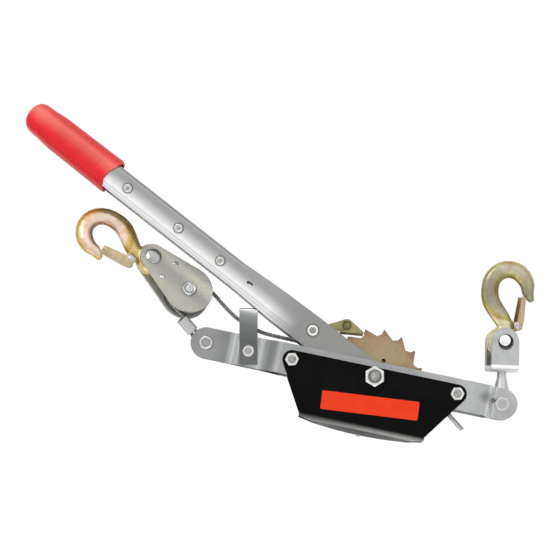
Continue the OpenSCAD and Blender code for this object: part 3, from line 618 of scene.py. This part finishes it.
def dished(name, centres, head_r, dish, core, edge, rim="#FFFFFF"):
    """Rolled rivet heads: bright rims, with painted shade in the dish and round the head's outer edge."""
    f = Finish(name, Metallic=0.85, Roughness=0.24)
    clouds = f.add("TexNoise", Vector=f.place, Scale=per_mm(2.2), Detail=3, Roughness=0.55)
    f.paint(f.add("ValToRGB", Fac=clouds, stops=[(0.3, "#DEDEDC"), (0.7, "#FFFFFF")]))
    for centre in centres:
        # painted shade: the core colour darkens the dish, the edge colour the head's outer edge
        f.shade(f.around(centre, 0, 1.5 * head_r),
                [(0.0, core), (0.5 * dish, core), (0.67 * dish + 0.07, rim), (0.52, rim), (0.6, edge),
                 (0.66, edge), (0.68, "#FFFFFF")])
    pits = f.add("TexNoise", Vector=f.place, Scale=per_mm(0.7), Detail=2, Roughness=0.55)
    f.coat(Normal=f.add("Bump", Height=pits, Strength=0.35, Distance=0.03 * MM))
    return f.mat


def bolt_head():
    """Anchor bolt's head, with a painted highlight on its chamfered rim, brighter than the flat."""
    f = Finish("zinc_bolt_head", Metallic=0.9, Roughness=0.3)
    clouds = f.add("TexNoise", Vector=f.place, Scale=per_mm(3), Detail=3, Roughness=0.55)
    f.paint(f.add("ValToRGB", Fac=clouds, stops=[(0.3, "#D6D6D4"), (0.7, "#E8E8E6")]))
    # painted highlight on the chamfered rim
    f.shade(f.around(Vector((ANCHOR_X, 0)), 0, 8),
            [(0.0, "#D2D2D2"), (0.6, "#DADADA"), (0.74, "#FFFFFF"), (1.0, "#FFFFFF")])
    return f.mat


def axle_rings(name, light, dark, rings):
    """Nut or bolt end on the drum axle: bright flats, with lighter and darker rings out from the axle; the
    nut's bright outer ring is a painted highlight on its rim.
    """
    f = Finish(name, Metallic=0.8, Roughness=0.28)
    clouds = f.add("TexNoise", Vector=f.place, Scale=per_mm(2.2), Detail=3, Roughness=0.55)
    f.paint(f.add("ValToRGB", Fac=clouds, stops=[(0.3, dark), (0.7, light)]))
    f.shade(f.around(Vector((0, 0)), 0, 12), rings)
    pits = f.add("TexNoise", Vector=f.place, Scale=per_mm(0.5), Detail=2, Roughness=0.55)
    f.coat(Normal=f.add("Bump", Height=pits, Strength=0.35, Distance=0.03 * MM))
    return f.mat


def polished_dome(name, lit, lit_r, dark, rest):
    """Polished rivet dome with a painted reflection: a pale disc of light beside the dark of what stands
    round it.
    """
    f = Finish(name, Metallic=0.85, Roughness=0.2)
    clouds = f.add("TexNoise", Vector=f.place, Scale=per_mm(5), Detail=2, Roughness=0.55)
    f.paint(f.add("ValToRGB", Fac=clouds, stops=[(0.3, "#F4F4F4"), (0.7, "#FFFFFF")]))
    # painted reflection: a pale disc round the lit place, a dark ring round it
    f.shade(f.around(lit, 0, 2 * lit_r), [(0.46, "#FFFFFF"), (0.54, dark), (0.66, dark), (0.8, rest)])
    return f.mat


# ---------- yellow passivated zinc ----------

def yellow_zinc(name, size, stops, shine=0.3, depth=0.05, metal=1.0):
    """Yellow chromate over zinc: a thin film that shifts from gold to green and rose in wide blotches."""
    f = Finish(name, Metallic=metal, Roughness=shine)
    film = f.add("TexNoise", Vector=f.place, Scale=per_mm(size), Detail=3, Roughness=0.5)
    fine = f.add("TexNoise", Vector=f.place, Scale=per_mm(0.9), Detail=3, Roughness=0.55)
    f.paint(f.add("ValToRGB", Fac=film, stops=stops))
    f.lay(f.add("ValToRGB", Fac=fine, stops=[(0.3, "#C9C4B4"), (0.7, "#FFFFFF")]), 0.5)
    f.coat(Roughness=f.add("MapRange", Value=fine, To_Min=shine - 0.08, To_Max=shine + 0.15),
           Normal=f.add("Bump", Height=fine, Strength=0.5, Distance=depth * MM))
    return f


def hook_zinc(name, bowl, stops, shine):
    """Passivated forging: pale along the middle of the bowl, darker and yellower towards both edges, where
    the film is yellower and painted shade falls as the section turns away.
    """
    f = yellow_zinc(name, 15, [(0.3, "#E6DCC8"), (0.5, "#FFFFFF"), (0.68, "#F2DDD2")], shine, 0.03, 0.72)
    # darker towards both edges: yellower film there, and painted shade where the section turns away
    f.shade(f.around(bowl, 10, 34), stops)
    return f


def rose_hook():
    """The load hook's film: rose in the bowl, gold towards its back."""
    return hook_zinc("rose_zinc_hook", LOAD_HOOK @ HOOK_BOWL,
                     [(0.0, "#8E6A56"), (0.12, "#CFA892"), (0.26, "#FBE6DA"), (0.46, "#F4DCCA"),
                      (0.64, "#DCC276"), (0.84, "#CDB262"), (0.95, "#E4CE94")], 0.27).mat


def olive_hook():
    """The anchor hook's film: silvery olive, with painted shade across the flank of its bowl."""
    f = hook_zinc("olive_zinc_hook", ANCHOR_HOOK @ HOOK_BOWL,
                  [(0.0, "#B5A860"), (0.16, "#C8C286"), (0.36, "#CFCDB6"), (0.6, "#C6C6B4"),
                   (0.74, "#C9C07A"), (0.86, "#BCB26E"), (0.95, "#ECE6BE")], 0.28)
    # painted shade across the flank of the bowl
    f.shade(f.along("Y", 75, 141), [(0.2, "#FFFFFF"), (0.36, "#DDD2D0"), (0.5, "#C8C8C6"),
                                    (0.66, "#D0D0CE"), (0.8, "#EAE8DC"), (0.92, "#FFFFFF")])
    return f.mat


def wheel_zinc():
    """Ratchet wheels' film: khaki in the middle, rosier and greyer round the teeth."""
    f = yellow_zinc("yellow_zinc_wheel", 22,
                    [(0.3, "#B89A88"), (0.45, "#BDA88C"), (0.58, "#B3A886"), (0.75, "#C4AC9A")], 0.38)
    f.shade(f.along("X", -34, 40, -IMAGE_TILT),
            [(0.0, "#F4EAE6"), (0.4, "#FFFCFA"), (0.75, "#FBFFF2"), (1.0, "#FFF8F4")])
    f.shade(f.around(Vector((0, 0)), 26, WHEEL_R),
            [(0.0, "#FFFFFF"), (0.6, "#FAF4F2"), (0.85, "#E6DAD8"), (1.0, "#B4AAA8")])
    return f.mat


def pawl_zinc():
    """Drive pawl's olive film, with a ring of painted shade round its boss and a painted highlight along its
    lower edge.
    """
    f = yellow_zinc("yellow_zinc_pawl", 11, [(0.3, "#847D52"), (0.5, "#A09A6E"), (0.7, "#B8AF8A")], 0.34)
    # ring of painted shade round the boss
    f.shade(f.around(PAWL_BOSS, 0, 6),
            [(0.0, "#E6E6DC"), (0.45, "#E2E2D6"), (0.58, "#A8A492"), (0.72, "#B2AE9C"), (0.86, "#FFFFFF")])
    # painted highlight along the pawl's lower edge
    edge = f.add("ValToRGB", Fac=f.along("Y", 38.2, 40.4, 2.2), stops=[(0.0, 1.0), (0.45, 1.0), (0.6, 0.0)])
    f.paint(f.add("Mix", 2, data_type="RGBA", Factor_Float=edge, A_Color=f.colour, B_Color=linear("#FFF2CC")))
    return f.mat


# ---------- paint, rope, plastic and label ----------

def black_paint():
    """Black powder coat with faint orange peel: a painted grey highlight along its front fold, brighter to
    the right, and the fold glossy edge-on.
    """
    f = Finish("black_guard", Metallic=0.0, Roughness=0.45)
    peel = f.add("TexNoise", Vector=f.place, Scale=per_mm(1.1), Detail=2, Roughness=0.55)
    dust = f.add("TexNoise", Vector=f.place, Scale=per_mm(22), Detail=4, Roughness=0.55)
    # painted highlight in grey along the front fold
    down = f.along("Y", -49.5, -61)
    f.paint(f.add("ValToRGB", Fac=down,
                  stops=[(0.0, "#000000"), (0.1, "#484745"), (0.26, "#8A8885"), (0.42, "#A8A6A3"),
                         (0.52, "#2E2D2C"), (0.7, "#080808"), (1.0, "#040404")]))
    # the fold's painted highlight grows brighter to the right
    f.shade(f.along("X", -66, 60), [(0.0, 0.42), (0.17, 0.5), (0.58, 0.79), (1.0, 1.0)])
    body = f.add("ValToRGB", Fac=dust, stops=[(0.35, "#070708"), (0.75, "#0E0E0F")])
    f.paint(f.add("Mix", 2, data_type="RGBA", blend_type="ADD", Factor_Float=1.0, A_Color=body,
                  B_Color=f.colour))
    mirror = [(0.0, 0.05), (0.36, 0.05), (0.46, 1.0), (0.62, 0.7), (0.8, 0.5), (1.0, 0.45)]
    f.coat(Specular_IOR_Level=f.add("ValToRGB", Fac=down, stops=mirror),
           Roughness=f.add("MapRange", Value=dust, To_Min=0.36, To_Max=0.5),
           Normal=f.add("Bump", Height=peel, Strength=0.3, Distance=0.05 * MM))
    return f.mat


def rope_steel():
    """Galvanised wire, laid and used: dull silver wires with soot between them."""
    f = Finish("galvanised_wire_rope", Metallic=1.0, Roughness=0.42)
    wires = f.add("TexNoise", Vector=f.place, Scale=per_mm(0.35), Detail=2, Roughness=0.55)
    soot = f.add("TexNoise", Vector=f.place, Scale=per_mm(6), Detail=3, Roughness=0.55)
    f.paint(f.add("ValToRGB", Fac=soot, stops=[(0.3, "#8E9092"), (0.7, "#C9CBCC")]))
    f.lay(f.add("ValToRGB", Fac=wires, stops=[(0.35, "#77797B"), (0.65, "#FFFFFF")]), 0.5)
    f.coat(Normal=f.add("Bump", Height=wires, Strength=0.6, Distance=0.06 * MM))
    return f.mat


def grip_plastic():
    """Moulded red vinyl: its red with painted light and shade across it, a painted highlight along its crown
    besides the coat's own sheen, painted shade in the grooves and a painted glint at its end.
    """
    f = Finish("moulded_red_grip", Metallic=0.0, Roughness=0.34, Specular_IOR_Level=0.2, Coat_Weight=0.08,
               Coat_Roughness=0.2)
    soft = f.add("TexNoise", Vector=f.place, Scale=per_mm(14), Detail=2, Roughness=0.55)
    fine = f.add("TexNoise", Vector=f.place, Scale=per_mm(0.6), Detail=2, Roughness=0.55)
    f.paint(f.add("ValToRGB", Fac=soft, stops=[(0.3, "#F6F6F6"), (0.75, "#FFFFFF")]))
    # the grip's red with painted light and shade across it
    f.shade(f.along("Y", -14, 22, HANDLE_TURN),
            [(0.0, "#D03A3A"), (0.14, "#E64A46"), (0.25, "#F07069"), (0.36, "#EE645E"), (0.44, "#E85651"),
             (0.53, "#E93A3C"), (0.64, "#E2222D"), (0.86, "#DB1A24"), (1.0, "#CC262C")])
    # painted glint near the grip's end
    glint = f.add("ValToRGB", Fac=f.around(GLINT_AT, 0, 11), stops=[(0.0, 0.3), (0.5, 0.18), (1.0, 0.0)])
    f.paint(f.add("Mix", 2, data_type="RGBA", Factor_Float=glint, A_Color=f.colour,
                  B_Color=linear("#F68A80")))
    # painted shade in the grooves, strongest along the crown
    ribs = f.add("Attribute", "Fac", attribute_name="groove")
    crown = f.add("ValToRGB", Fac=f.along("Y", -12, 16, HANDLE_TURN),
                  stops=[(0.0, 0.15), (0.32, 0.9), (0.55, 0.9), (0.8, 0.25), (1.0, 0.1)])
    shadow = f.add("Mix", 2, data_type="RGBA", blend_type="MULTIPLY", Factor_Float=1.0, A_Color=ribs,
                   B_Color=crown)
    f.shade(shadow, [(0.0, "#FFFFFF"), (0.15, "#FFFFFF"), (1.0, "#DCA49C")])
    f.coat(Roughness=f.add("MapRange", Value=fine, To_Min=0.3, To_Max=0.4),
           Normal=f.add("Bump", Height=fine, Strength=0.2, Distance=0.01 * MM))
    return f.mat


def label_vinyl():
    """Orange vinyl film: flat, even colour with a trace of waviness from the adhesive."""
    f = Finish("orange_label_vinyl", Metallic=0.0, Roughness=0.5, Specular_IOR_Level=0.2)
    soft = f.add("TexNoise", Vector=f.place, Scale=per_mm(9), Detail=2, Roughness=0.55)
    waves = f.add("TexNoise", Vector=f.place, Scale=per_mm(0.8), Detail=2, Roughness=0.55)
    f.paint(f.add("ValToRGB", Fac=soft, stops=[(0.3, "#DE330E"), (0.7, "#E33A13")]))
    f.coat(Normal=f.add("Bump", Height=waves, Strength=0.3, Distance=0.02 * MM))
    return f.mat


MATS = {
    "handle": handle_sheet(),
    "plate": side_plate_sheet(),
    "block": block_sheet(),
    "forged": clouded("zinc_forging", "#D2D4D4", "#BFC1C1", 0.34, 9.0),
    "nut": clouded("zinc_nut", "#EFEFEC", "#D8D8D5", 0.24, 5.0, 0.75),
    "bolt": clouded("zinc_bolt_end", "#C2C2BF", "#7E7E7B", 0.34, 1.6),
    "rivet": clouded("zinc_rivet", "#D6D7D7", "#B6B7B8", 0.22),
    "lever_rivet": dished("zinc_lever_rivet", LEVER_RIVETS, LEVER_HEAD_R, 0.36,
                          "#AEAEAC", "#A6A6A4", "#EAEAE8"),
    "end_rivet": dished("zinc_end_rivet", [Vector((-ROPE_END_X, 0))], ROPE_END_HEAD_R, 0.6,
                        "#B2B2B0", "#BEBEBC", "#DCDCDA"),
    "strap_rivet": dished("zinc_strap_rivet", [Vector((-REST_X, 0))], REST_HEAD_R, 0.5,
                          "#B6B6B4", "#CACAC8"),
    "pawl_pin": dished("zinc_pawl_pin", [PIN_AT], PIN_HEAD_R, 0.54, "#A8A8A6", "#DCDCDA"),
    "load_dome": polished_dome("polished_load_rivet", LOAD_EYE.translation + Vector((-3.4, 1.4, 0)), 2.4,
                               "#9A9A98", "#B4B4B2"),
    "anchor_dome": polished_dome("polished_anchor_rivet", ANCHOR_EYE.translation + Vector((1.6, 1.9, 0)),
                                 5.6, "#2C2C2A", "#6E6E6C"),
    "bolt_head": bolt_head(),
    "axle_nut": axle_rings("zinc_axle_nut", "#F6F6F3", "#E0E0DC",
                           [(0.0, "#989896"), (0.56, "#989896"), (0.62, "#FFFFFF")]),
    "axle_end": axle_rings("zinc_axle_end", "#C6C6C3", "#8A8A87",
                           [(0.0, "#FFFFFF"), (0.32, "#F2F2F0"), (0.44, "#B8B8B6"), (0.6, "#9C9C9A"),
                            (0.66, "#FFFFFF")]),
    "clevis": clevis_sheet(),
    "rest": rest_sheet(),
    "dark": clouded("oiled_steel", "#6A6C6E", "#47494B", 0.4),
    "guard": black_paint(),
    "wheel": wheel_zinc(),
    "pawl": pawl_zinc(),
    "rose": rose_hook(),
    "olive": olive_hook(),
    "latch": yellow_zinc("yellow_zinc_latch", 8,
                         [(0.3, "#B59F78"), (0.5, "#CDB996"), (0.7, "#D6BEAC")]).mat,
    "rope": rope_steel(),
    "alu": clouded("pressed_aluminium", "#C6C6C6", "#B6B6B6", 0.52, 8.0, 0.85),
    "iron": clouded("turned_sheave", "#77797A", "#4E5052", 0.4),
    "grip": grip_plastic(),
    "label": label_vinyl(),
}


def dress(piece, key):
    """Gives a piece its one material."""
    piece.data.materials.clear()
    piece.data.materials.append(MATS[key])


# ---------- wire rope ----------

LAY_LENGTH = 26 * MM
ROUTE_STEP = 1.6 * MM
WINDING_STEP = 1.8 * MM


rope, rope_points = stranded("wire_rope_strands", rope_route(), ROPE_R * MM, LAY_LENGTH, ROUTE_STEP)
dress(rope, "rope")
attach(rope, "frame_body")
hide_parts("wire_rope")

wound = stranded("wound_rope_strands", winding_route(), ROPE_R * MM, LAY_LENGTH, WINDING_STEP)[0]
dress(wound, "rope")
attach(wound, "drum_body")
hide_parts("rope_winding")


# ---------- CAD nodes: sheet and bolts with rounded edges, forgings, and the rest as they are ----------

SOFT = [
    ("front_side_plate", 0.5, "plate"), ("rear_side_plate", 0.5, "plate"), ("drum_guard", 0.35, "guard"),
    ("handle_channel", 0.5, "handle"), ("front_block_plate", 0.5, "block"),
    ("rear_block_plate", 0.5, "block"), ("anchor_clevis", 0.6, "clevis"), ("anchor_stud", 0.6, "forged"),
    ("front_ratchet_wheel", 0.35, "wheel"), ("rear_ratchet_wheel", 0.35, "wheel"),
    ("drive_pawl", 0.4, "pawl"), ("stop_pawl", 0.4, "plate"), ("handle_rest", 0.35, "rest"),
    ("axle_bolt", 0.3, "axle_end"), ("axle_nut", 0.3, "axle_nut"), ("guard_bolts", 0.3, "bolt"),
    ("guard_nuts", 0.3, "nut"), ("anchor_bolt", 0.3, "bolt_head"), ("anchor_nut", 0.3, "bolt_head"),
    ("anchor_latch", 0.3, "latch"), ("load_latch", 0.3, "latch"), ("rope_ferrule", 0.6, "alu"),
]
PLAIN = {
    "guard_rivet": "rivet", "frame_spacer": "forged", "rope_end_rivet": "rivet", "rope_end_bush": "dark",
    "rest_rivet": "rivet", "drum_barrel": "dark", "rope_core": "rope", "handle_rivets": "rivet",
    "drive_pawl_pin": "rivet", "drive_pawl_spring": "dark", "stop_pawl_spring": "dark",
    "anchor_hook_rivet": "rivet", "anchor_hook": "olive", "anchor_latch_rivet": "rivet",
    "anchor_latch_spring": "dark", "block_keeper_pins": "rivet", "sheave_pin": "rivet", "sheave": "iron",
    "load_hook_rivet": "rivet", "load_hook": "rose", "load_latch_rivet": "rivet",
    "load_latch_spring": "dark", "wire_rope": "rope", "rope_winding": "rope", "handle_grip": "grip",
}
FORGED = ("anchor_hook", "load_hook")

for name, width, key in SOFT:
    dress(softened(name, width), key)
    dress(NODES[name], key)
for name, key in PLAIN.items():
    dress(NODES[name], key)
for name in FORGED:
    dress(forged(name), PLAIN[name])


# ---------- riveted heads with their rolled rims ----------

LATHE_SIDES = 40
HEAD_SHARP = 40
DOME_EDGE = 0.2
DOME_RISE = 0.78
RIM_PROFILE = ((0, 0.52), (0.16, 0.5), (0.34, 0.36), (0.5, 0.42), (0.58, 0.72), (0.68, 0.95), (0.79, 0.97),
               (0.9, 0.76), (0.98, 0.4), (1, 0.15))


def rimmed(r, half, head_r, head_h):
    """Head rolled over by a hollow punch: a raised rim round a shallow dish."""
    return [(out * head_r, half + up * head_h) for out, up in RIM_PROFILE] + [(head_r, half), (r, half)]


def domed(r, half, head_r, head_h):
    """Head drawn to a low dome over a short edge."""
    rows = []
    for a in range(0, 91, 10):
        rise = DOME_EDGE + DOME_RISE * math.cos(math.radians(a))
        rows.append((head_r * math.sin(math.radians(a)), half + head_h * rise))
    return rows + [(head_r, half), (r, half)]


def lathe(bm, place, rows):
    """Solid of revolution from rows of (radius, height), the same above and below the middle."""
    profile = [bm.verts.new(place @ Vector((r, 0, z)) * MM)
               for r, z in rows + [(r, -z) for r, z in reversed(rows)]]
    edges = [bm.edges.new(pair) for pair in zip(profile, profile[1:])]
    axis = place.to_3x3() @ Vector((0, 0, 1))
    bmesh.ops.spin(bm, geom=profile + edges, cent=place.translation * MM, axis=axis, angle=2 * math.pi,
                   steps=LATHE_SIDES, use_merge=True)


def rivets(node, key, rows, places):
    """One node's rivets with finished heads, in place of its plain ones."""
    bm = bmesh.new()
    for place in places:
        lathe(bm, place, rows)
    bmesh.ops.remove_doubles(bm, verts=bm.verts, dist=WELD)
    bmesh.ops.recalc_face_normals(bm, faces=bm.faces)
    piece = made(node + "_headed", bm, HEAD_SHARP)
    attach(piece, NODES[node]["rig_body"])
    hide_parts(node)
    dress(piece, key)


# Each row of sizes is the shank's radius, half the length between the heads, and a head's radius and height.
rivets("rope_end_rivet", "end_rivet", rimmed(5, 8, ROPE_END_HEAD_R, 2.6), [FRAME @ moved(-ROPE_END_X, 0)])
rivets("rest_rivet", "strap_rivet", rimmed(4, 15.5, REST_HEAD_R, 2.8), [FRAME @ moved(-REST_X, 0)])
rivets("drive_pawl_pin", "pawl_pin", rimmed(4, 20, PIN_HEAD_R, 2.2), [FRAME @ moved(PIN_AT.x, PIN_AT.y)])
rivets("handle_rivets", "lever_rivet", rimmed(3, 20, LEVER_HEAD_R, 1.8),
       [FRAME @ moved(p.x, p.y) for p in LEVER_RIVETS])
rivets("sheave_pin", "rivet", rimmed(6, 9.7, 7.8, 3.2), [BLOCK])
rivets("load_hook_rivet", "load_dome", domed(6, 9.7, 8.2, 2.8), [LOAD_EYE])
rivets("anchor_hook_rivet", "anchor_dome", domed(6, 10.6, 8, 4), [ANCHOR_EYE])
rivets("load_latch_rivet", "rivet", domed(2, 6.2, 3.6, 1.3), [LOAD_HOOK @ LATCH_PIN])
rivets("anchor_latch_rivet", "rivet", domed(2, 6.2, 3.6, 1.3), [ANCHOR_HOOK @ LATCH_PIN])


# ---------- grip: distances run from its mouth, widths and depths are halves ----------

GRIP_MOUTH = 336.4
GRIP_LENGTH = 101.0
GRIP_SHIFT = 1.3
GRIP_SIDES = 72
GRIP_SQUARENESS = 4.2
GRIP_DEPTH = 22.3
GRIP_TAPER = 0.8
GRIP_CROWN = 1.5
CROWN_HALF = 15
GRIP_HALF = ((0, 18.4), (10, 18.2), (30, 18.0), (50, 17.8), (66, 17.7), (74, 17.0), (80, 16.3), (88, 15.9))
MOUTH_ROWS = [(6.0, 15.2, 20.3, 0), (1.0, 15.3, 20.4, 0), (0.0, 15.7, 20.6, 0), (0.0, 17.4, 21.7, 0),
              (0.4, 17.9, 22.1, 0), (1.2, 18.15, 22.3, 0)]
LIP_REACH = 5.0
LIP_FADE = 12
LIP_LOW, LIP_LOW_SLOPE = 4.5, 0.36
LIP_HIGH, LIP_HIGH_SLOPE = 13, 0.7
RIB_PITCH = 2.1
RIB_DEPTH = 0.35
RIB_ROWS = 6
RIBS_FROM, RIBS_TO = 12, 68
WALL_FROM = 2.0
ROUND_FROM = 87.5
ROUND_REACH = 14.2
ROUND_HALF = 15.9
ROUND_DEPTH = 21.5
ROUND_DROP = 8
ROUND_POWER = 0.78
ROUND_ROWS = 12
TIP_HALF = 1.5
GRIP_SHARP = 50


def squircle(half_w, half_d):
    """Ring of (width, depth) between an ellipse and a rectangle."""
    ring = []
    for j in range(GRIP_SIDES):
        a = 2 * math.pi * j / GRIP_SIDES
        c, s = math.cos(a), math.sin(a)
        ring.append((half_w * math.copysign(abs(c) ** (2 / GRIP_SQUARENESS), c),
                     half_d * math.copysign(abs(s) ** (2 / GRIP_SQUARENESS), s)))
    return ring


def grip_half(at):
    """Half width of the grip at a distance from its mouth, between the sizes in the table."""
    for (a, low), (b, high) in zip(GRIP_HALF, GRIP_HALF[1:]):
        if at <= b:
            return low + (high - low) * (at - a) / (b - a)


def grip_outline():
    """Rows of (distance, half width, half depth, groove), from inside the mouth over the ribs to the end."""
    rows = list(MOUTH_ROWS)
    at = WALL_FROM
    while at < ROUND_FROM:
        phase = (at % RIB_PITCH) / RIB_PITCH
        dip = (0.5 - 0.5 * math.cos(2 * math.pi * phase)) ** 2 if RIBS_FROM < at < RIBS_TO else 0.0
        rows.append((at, grip_half(at) - RIB_DEPTH * dip,
                     GRIP_DEPTH - GRIP_TAPER * at / GRIP_LENGTH - RIB_DEPTH * dip, dip))
        at += RIB_PITCH / RIB_ROWS
    for k in range(1, ROUND_ROWS + 1):
        a = math.radians(90 / ROUND_ROWS * k)
        rows.append((ROUND_FROM + ROUND_REACH * math.sin(a) ** ROUND_POWER,
                     max(TIP_HALF, ROUND_HALF * abs(math.cos(a)) ** ROUND_POWER),
                     ROUND_DEPTH - ROUND_DROP * (1 - math.cos(a)), 0))
    return rows


def mouth_lip(v):
    """How far the grip's mouth reaches forward along its two long edges."""
    return min(LIP_REACH, max(0.0, LIP_LOW_SLOPE * (LIP_LOW - v), LIP_HIGH_SLOPE * (v - LIP_HIGH)))


def build_grip():
    """Moulded grip: a lipped mouth, fine ribs along its wall and a rounded end."""
    bm = bmesh.new()
    groove = bm.verts.layers.float.new("groove")
    rings = []
    for at, half_w, half_d, dip in grip_outline():
        ring = []
        for v, z in squircle(half_w, half_d):
            crown = GRIP_CROWN * (1 - (v / half_w) ** 2) * (z / half_d) * min(1.0, half_w / CROWN_HALF)
            reach = GRIP_MOUTH + at - mouth_lip(v + HANDLE_OFF) * max(0.0, 1 - at / LIP_FADE)
            ring.append(bm.verts.new(handle_point(reach, v + HANDLE_OFF - GRIP_SHIFT, z + crown)))
            ring[-1][groove] = dip
        rings.append([bm.edges.new(pair) for pair in zip(ring, ring[1:] + ring[:1])])
    for a, b in zip(rings, rings[1:]):
        bmesh.ops.bridge_loops(bm, edges=a + b)
    bm.faces.new(ring)
    bmesh.ops.recalc_face_normals(bm, faces=bm.faces)
    piece = made("ribbed_grip", bm, GRIP_SHARP)
    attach(piece, "lever_body")
    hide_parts("handle_grip")
    dress(piece, "grip")


build_grip()


# ---------- bare label on the guard ----------

LABEL_LENGTH = 97.5
LABEL_WIDTH = 18.7
LABEL_CORNER = 1.6
LABEL_THICK = 0.12
LABEL_TURN = 4.8
LABEL_CORNER_PARTS = 4
GUARD_FACE = 26.0
LABEL_AT = Vector((1.2, -28.9, MID_Z + GUARD_FACE))


def build_label():
    """A thin plate with rounded corners, lying on the guard's face."""
    turn = Matrix.Rotation(math.radians(LABEL_TURN), 3, "Z")
    bm = bmesh.new()
    rim = []
    for cx, cy, start in ((1, 1, 0), (-1, 1, 90), (-1, -1, 180), (1, -1, 270)):
        corner = Vector((cx * (LABEL_LENGTH / 2 - LABEL_CORNER), cy * (LABEL_WIDTH / 2 - LABEL_CORNER), 0))
        for k in range(LABEL_CORNER_PARTS + 1):
            p = corner + polar(LABEL_CORNER, start + 90 / LABEL_CORNER_PARTS * k)
            rim.append(bm.verts.new((LABEL_AT + turn @ p) * MM))
    lift = bmesh.ops.extrude_face_region(bm, geom=[bm.faces.new(rim)])
    for v in [g for g in lift["geom"] if isinstance(g, bmesh.types.BMVert)]:
        v.co.z += LABEL_THICK * MM
    bmesh.ops.recalc_face_normals(bm, faces=bm.faces)
    piece = made("bare_label", bm)
    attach(piece, "frame_body")
    dress(piece, "label")


build_label()


# ---------- floor and light ----------

FLOOR_DROP = 0.5 * MM
FLOOR_HALF = 6
LIGHT_AIM = Vector((-0.1, 0.05, 0))    # metres


def white_floor():
    """Matt white paper: white to the camera, and pale in the metal's mirror."""
    f = Finish("white_floor", Metallic=0.0, Roughness=0.9)
    paper = f.add("TexNoise", Vector=f.place, Scale=per_mm(400), Detail=1, Roughness=0.55)
    f.paint(f.add("ValToRGB", Fac=paper, stops=[(0.0, "#F4F4F3"), (1.0, "#F7F7F6")]))
    glow = f.add("Emission", Color=(1, 1, 1, 1), Strength=1.0)
    seen = f.add("MixShader", Fac=f.add("LightPath", "Is Camera Ray"), Shader=f.shader.outputs["BSDF"],
                 Shader_001=glow)
    tree = f.mat.node_tree
    plug(tree, tree.nodes["Material Output"], {"Surface": seen})
    return f.mat


def add_floor():
    bm = bmesh.new()
    bmesh.ops.create_grid(bm, x_segments=4, y_segments=4, size=FLOOR_HALF, matrix=moved(0, 0, -FLOOR_DROP))
    floor = made("floor", bm)
    floor.data.materials.append(white_floor())


def add_light(name, place, size, size_y, power):
    """Rectangular lamp that faces the winch, in metres and watts."""
    data = bpy.data.lights.new(name, "AREA")
    data.shape = "RECTANGLE"
    data.size = size
    data.size_y = size_y
    data.energy = power
    light = link(name, data)
    light.location = place
    light.rotation_euler = (LIGHT_AIM - Vector(place)).to_track_quat("-Z", "Y").to_euler()


def add_world():
    """Studio walls: dark low down, bright half way up, dimmer overhead, brightest behind the lever."""
    world = bpy.data.worlds.new("studio")
    world.use_nodes = True
    tree = world.node_tree
    place = add_node(tree, "TexCoord", "Generated")

    def graded(aim, stops):
        """Greys from 0 facing away from the aim to 1 facing it."""
        facing = add_node(tree, "VectorMath", "Value", operation="DOT_PRODUCT", Vector=place,
                          Vector_001=Vector(aim).normalized())
        half = add_node(tree, "Math", operation="MULTIPLY_ADD", Value=facing, Value_001=0.5, Value_002=0.5)
        return add_node(tree, "ValToRGB", Fac=half, stops=stops)

    height = graded((0, 0, 1), [(0.45, 0.12), (0.56, 0.35), (0.7, 1.0), (0.85, 1.05), (0.95, 0.85),
                                (1.0, 0.8)])
    side = graded((-0.55, 0.8, 0), [(0.0, 0.6), (0.5, 0.92), (1.0, 1.1)])
    walls = add_node(tree, "VectorMath", operation="MULTIPLY", Vector=height, Vector_001=side)
    plug(tree, tree.nodes["Background"], {"Color": walls, "Strength": 1.15})
    bpy.context.scene.world = world


add_floor()
add_world()
add_light("key", (-1.1, 1.5, 1.5), 0.9, 0.9, 7)
add_light("fill", (1.1, -0.7, 1.3), 1.0, 1.0, 2)
add_light("strip", (-0.1, -1.1, 0.7), 1.4, 0.25, 3)
bpy.context.scene.view_settings.view_transform = "Standard"
